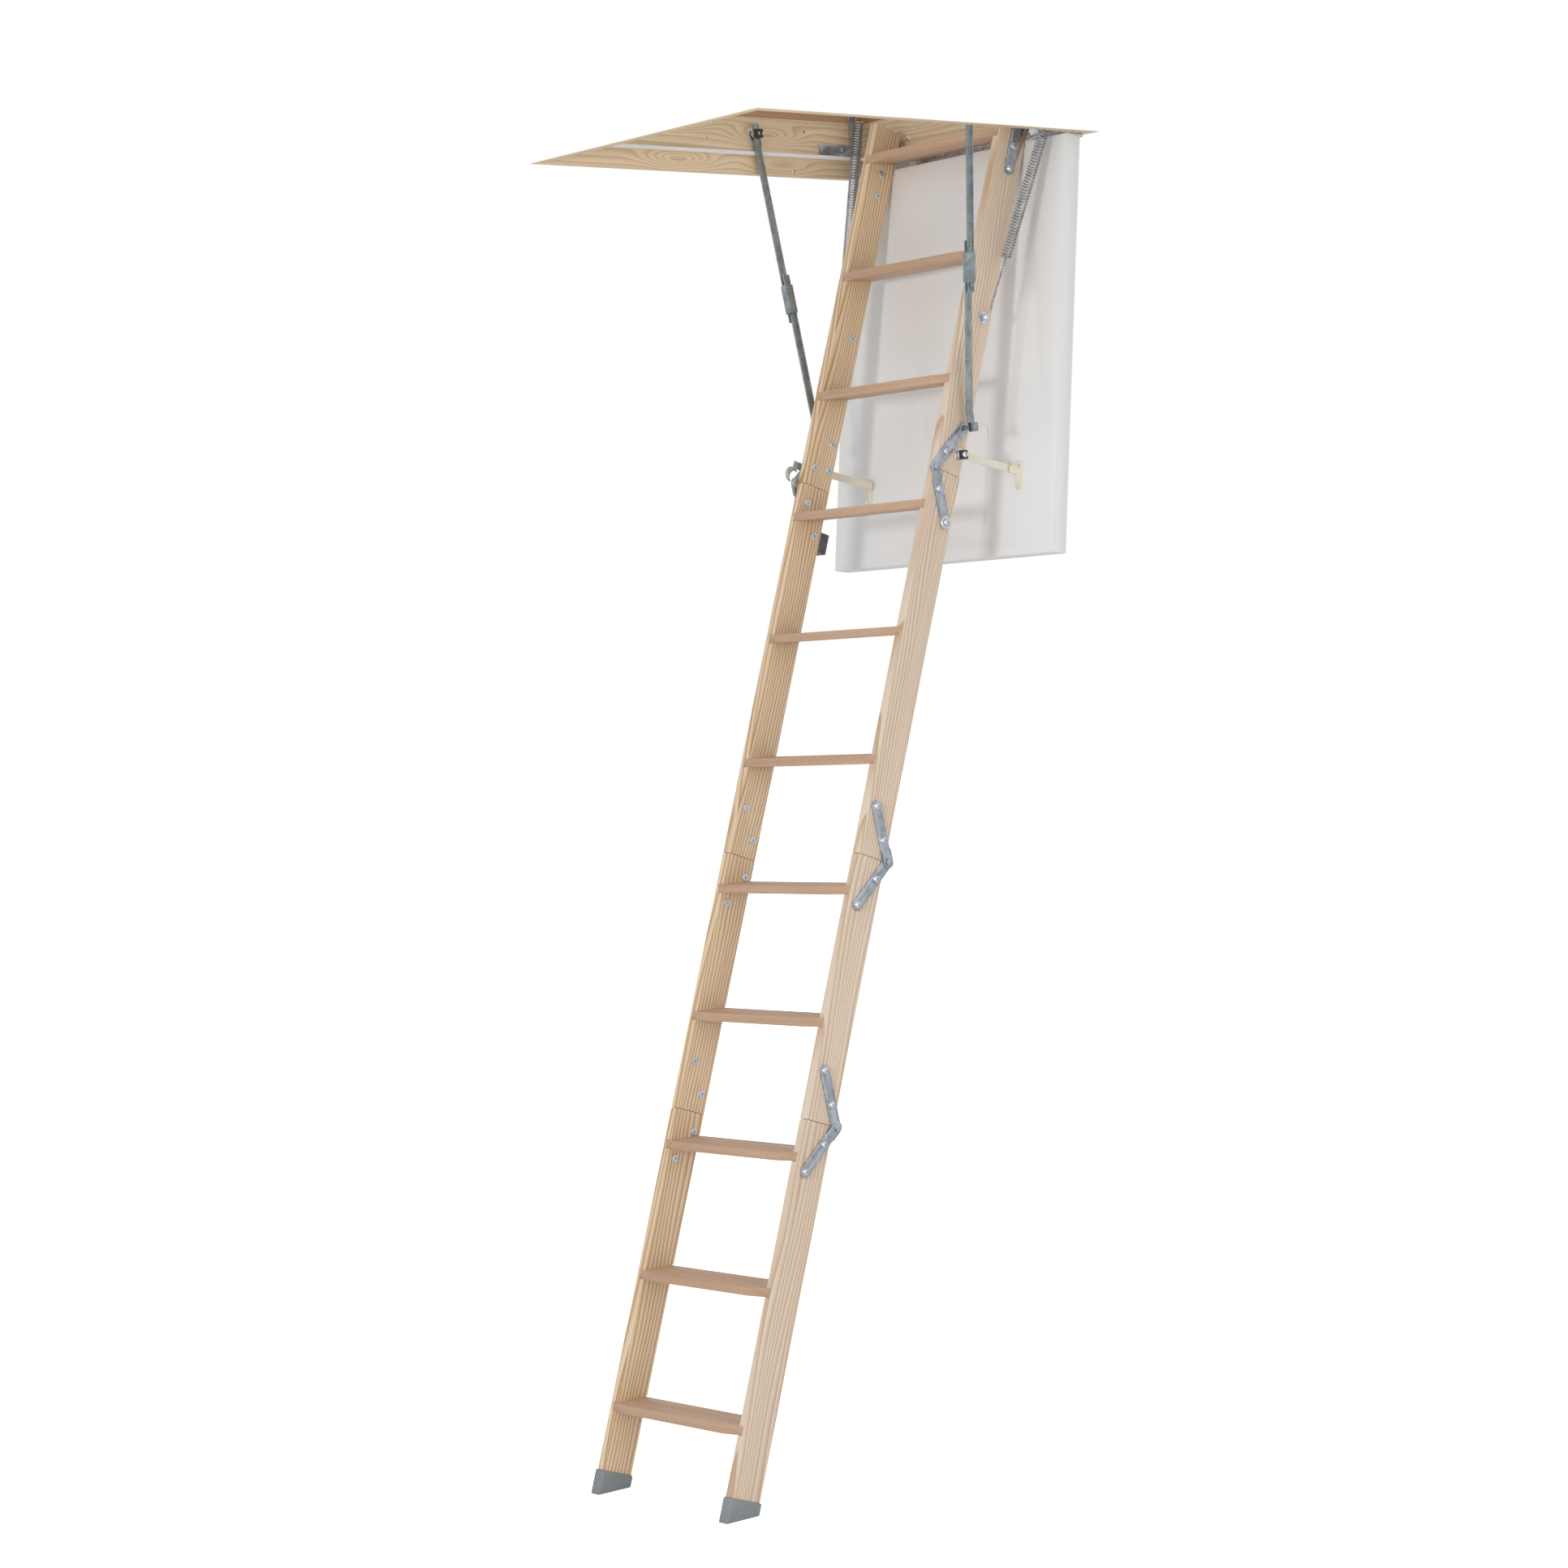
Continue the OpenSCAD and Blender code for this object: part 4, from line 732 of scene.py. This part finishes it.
def tube(points, radius, name, sides=10):
    """A closed tube along points."""
    shape = bmesh.new()
    rings = []
    turn = None
    for i, p in enumerate(points):
        ahead = (Vector(points[min(i + 1, len(points) - 1)]) - Vector(points[max(i - 1, 0)])).normalized()
        turn = ahead.orthogonal() if turn is None else turn - ahead * turn.dot(ahead)
        turn = turn.normalized()
        other = ahead.cross(turn)
        rings.append([shape.verts.new(Vector(p) + radius * (math.cos(a) * turn + math.sin(a) * other))
                      for a in (2 * math.pi * k / sides for k in range(sides))])
    for low, high in zip(rings, rings[1:]):
        for k in range(sides):
            shape.faces.new((low[k], low[(k + 1) % sides], high[(k + 1) % sides], high[k]))
    shape.faces.new(list(reversed(rings[0])))
    shape.faces.new(rings[-1])
    bmesh.ops.recalc_face_normals(shape, faces=shape.faces)
    mesh = bpy.data.meshes.new(name)
    shape.to_mesh(mesh)
    shape.free()
    return mesh


SPRING_TOP = Vector((0.380, 0.294, 0.128))
WIRE_LENGTH, HOOK_LENGTH, COIL_RADIUS, COIL_WIRE, COIL_PITCH = 0.118, 0.018, 0.0089, 0.0016, 0.0058
HOOK_RADIUS, HOOK_WIRE, HOOK_FROM, HOOK_SWEEP, HOOK_STEPS = 0.0060, 0.0013, -35, 290, 14
STRAND_STEPS, STRAND_TWISTS, STRAND_SPREAD, EYE_SPREAD, EYE_SHARE = 89, 9, 0.0012, 0.0045, 0.06
wire_end = on_ladder(*WIRE_BOLT, 0.212)
for side, hand in (("left", 1), ("right", -1)):
    top = Vector((SPRING_TOP.x, hand * SPRING_TOP.y, SPRING_TOP.z))
    end = Vector((wire_end.x, hand * wire_end.y, wire_end.z))
    axis = (end - top).normalized()
    run = (end - top).length
    length = run - WIRE_LENGTH - HOOK_LENGTH
    blank = bpy.data.objects.new("blank", bpy.data.meshes.new("blank"))
    coil_mesh = evaluated(blank, coil, coil_inputs, {
        "Turns": float(round(length / COIL_PITCH)), "Coil Radius": COIL_RADIUS, "Length": length,
        "Wire Radius": COIL_WIRE, "Material": spring_steel})
    place = Matrix.Translation(top + axis * HOOK_LENGTH) @ axis.to_track_quat("Z", "Y").to_matrix().to_4x4()
    coil_mesh.transform(place)
    flat = Vector((0, hand, 0)).cross(axis).normalized()
    hook = [top + axis * (HOOK_LENGTH + 0.001) + flat * (COIL_RADIUS - 0.001)]
    for i in range(HOOK_STEPS + 1):
        a = math.radians(HOOK_FROM + HOOK_SWEEP * i / HOOK_STEPS)
        hook.append(top + HOOK_RADIUS * (math.cos(a) * flat - math.sin(a) * axis))
    meshes = [coil_mesh, tube(hook, HOOK_WIRE, "hook")]
    coil_piece = finish_piece(joined(meshes, "spring_" + side), "spring_" + side, "springs",
                              spring_steel, ["springs"], angle=60)
    start = top + axis * (run - WIRE_LENGTH - 0.004)
    sideways = axis.cross(flat)
    strands = []
    for phase in (0, math.pi):
        strand = []
        for i in range(STRAND_STEPS + 1):
            t = i / STRAND_STEPS
            spread = STRAND_SPREAD + (EYE_SPREAD if t < EYE_SHARE else 0) * (1 - t / EYE_SHARE)
            a = phase + 2 * math.pi * STRAND_TWISTS * t
            strand.append(start + axis * (t * (WIRE_LENGTH - 0.006))
                          + spread * (math.cos(a) * flat + math.sin(a) * sideways))
        strands.append(tube(strand, 0.0010, "strand", 6))
    tail = [start + axis * (0.012 + 0.0016 * i) + flat * (0.0015 * math.sin(i * 0.7) + 0.0011 * i)
            + sideways * (0.0012 * math.cos(i * 1.1)) for i in range(11)]
    strands.append(tube(tail, 0.0009, "tail", 6))
    wire_piece = finish_piece(joined(strands, "spring_wire_" + side), "spring_wire_" + side, "springs",
                              spring_steel, ["spring_wires"], angle=60)
    for piece in (coil_piece, wire_piece):
        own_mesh(piece)
for node in ("springs", "spring_wires"):
    paint(node, spring_steel)

# ---- Label ------------------------------------------------------------------
# A blank paper label stuck to the door's inner face between the arms, with slightly lifted corners.
PIN = Vector((0.4001, 0, -0.0042))
OPEN = math.radians(82.65)
DOOR_T, LABEL_FROM, LABEL_TO, LABEL_SIDE, LABEL_SHIFT = 0.036, 0.545, 0.735, 0.078, -0.045


def on_door(along, y, proud):
    """A point on the open door: along from the hinge pin towards the free end, proud of the inner face."""
    flat_point = Vector((-along, y, DOOR_T - PIN.z + proud))
    return Vector((PIN.x, 0, PIN.z)) + Matrix.Rotation(-OPEN, 3, "Y") @ flat_point


def label_mesh():
    """The label as a thin solid, with its four corners lifted a little."""
    shape = bmesh.new()
    steps = 12
    grid = []
    for i in range(steps + 1):
        row = []
        for k in range(steps + 1):
            a, b = i / steps, k / steps
            lift = 0.00025 + 0.0012 * max(abs(a - 0.5) + abs(b - 0.5) - 0.88, 0) * 8
            row.append(shape.verts.new(on_door(LABEL_FROM + a * (LABEL_TO - LABEL_FROM),
                                               LABEL_SHIFT - LABEL_SIDE + 2 * b * LABEL_SIDE, lift)))
        grid.append(row)
    for i in range(steps):
        for k in range(steps):
            shape.faces.new((grid[i][k], grid[i][k + 1], grid[i + 1][k + 1], grid[i + 1][k]))
    bmesh.ops.recalc_face_normals(shape, faces=shape.faces)
    bmesh.ops.solidify(shape, geom=shape.faces[:], thickness=0.00012)
    bmesh.ops.recalc_face_normals(shape, faces=shape.faces)
    mesh = bpy.data.meshes.new("label")
    shape.to_mesh(mesh)
    shape.free()
    return mesh


finish_piece(label_mesh(), "door_label", "hatch_door", paper)

# ---- Floor and ceiling ------------------------------------------------------
# Not part of the object: a pale floor under the feet, and a white ceiling round the frame that only shows
# from below.
def sheet(name, corners, look):
    """A flat stage sheet: one face through four corners, or a ring between four outer and four inner ones."""
    mesh = bpy.data.meshes.new(name)
    mesh.from_pydata(corners, [], [tuple(range(len(corners)))] if len(corners) == 4 else
                     [(0, 1, 5, 4), (1, 2, 6, 5), (2, 3, 7, 6), (3, 0, 4, 7)])
    mesh.materials.append(look)
    made = bpy.data.objects.new(name, mesh)
    scene.collection.objects.link(made)
    return made


floor_look = bpy.data.materials.new("floor_white")
floor_look.use_nodes = True
floor_surface = floor_look.node_tree.nodes["Principled BSDF"]
floor_surface.inputs["Base Color"].default_value = (0.95, 0.95, 0.95, 1)
floor_surface.inputs["Roughness"].default_value = 0.9
floor_surface.inputs["Emission Color"].default_value = WHITE
floor_seen = floor_look.node_tree.nodes.new("ShaderNodeLightPath").outputs["Is Camera Ray"]
floor_look.node_tree.links.new(floor_seen, floor_surface.inputs["Emission Strength"])
floor_z = min(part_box("feet")[0].z, -2.487)
FLOOR_REACH = 30
sheet("floor", [(-FLOOR_REACH, -FLOOR_REACH, floor_z), (FLOOR_REACH, -FLOOR_REACH, floor_z),
                (FLOOR_REACH, FLOOR_REACH, floor_z), (-FLOOR_REACH, FLOOR_REACH, floor_z)], floor_look)
ceiling_look = bpy.data.materials.new("ceiling_white")
ceiling_look.use_nodes = True
ceiling = Tree(ceiling_look.node_tree)
glow = ceiling.put("ShaderNodeEmission", {"Color": WHITE, "Strength": 1.0})
clear = ceiling.put("ShaderNodeBsdfTransparent")
facing = ceiling.put("ShaderNodeNewGeometry").outputs["Backfacing"]
both = ceiling.put("ShaderNodeMixShader", {0: facing, 1: glow.outputs[0], 2: clear.outputs[0]})
ceiling.tree.links.new(both.outputs[0], ceiling.tree.nodes["Material Output"].inputs["Surface"])
rim = [(-0.4235, -0.337), (-0.4235, 0.337), (0.4235, 0.337), (0.4235, -0.337)]
far_out = [(-6, -6), (-6, 6), (6, 6), (6, -6)]
CEILING_Z = 0.0005
ceiling_sheet = sheet("ceiling", [(x, y, CEILING_Z) for x, y in far_out + rim], ceiling_look)
for ray in ("visible_diffuse", "visible_glossy", "visible_transmission", "visible_shadow"):
    setattr(ceiling_sheet, ray, False)
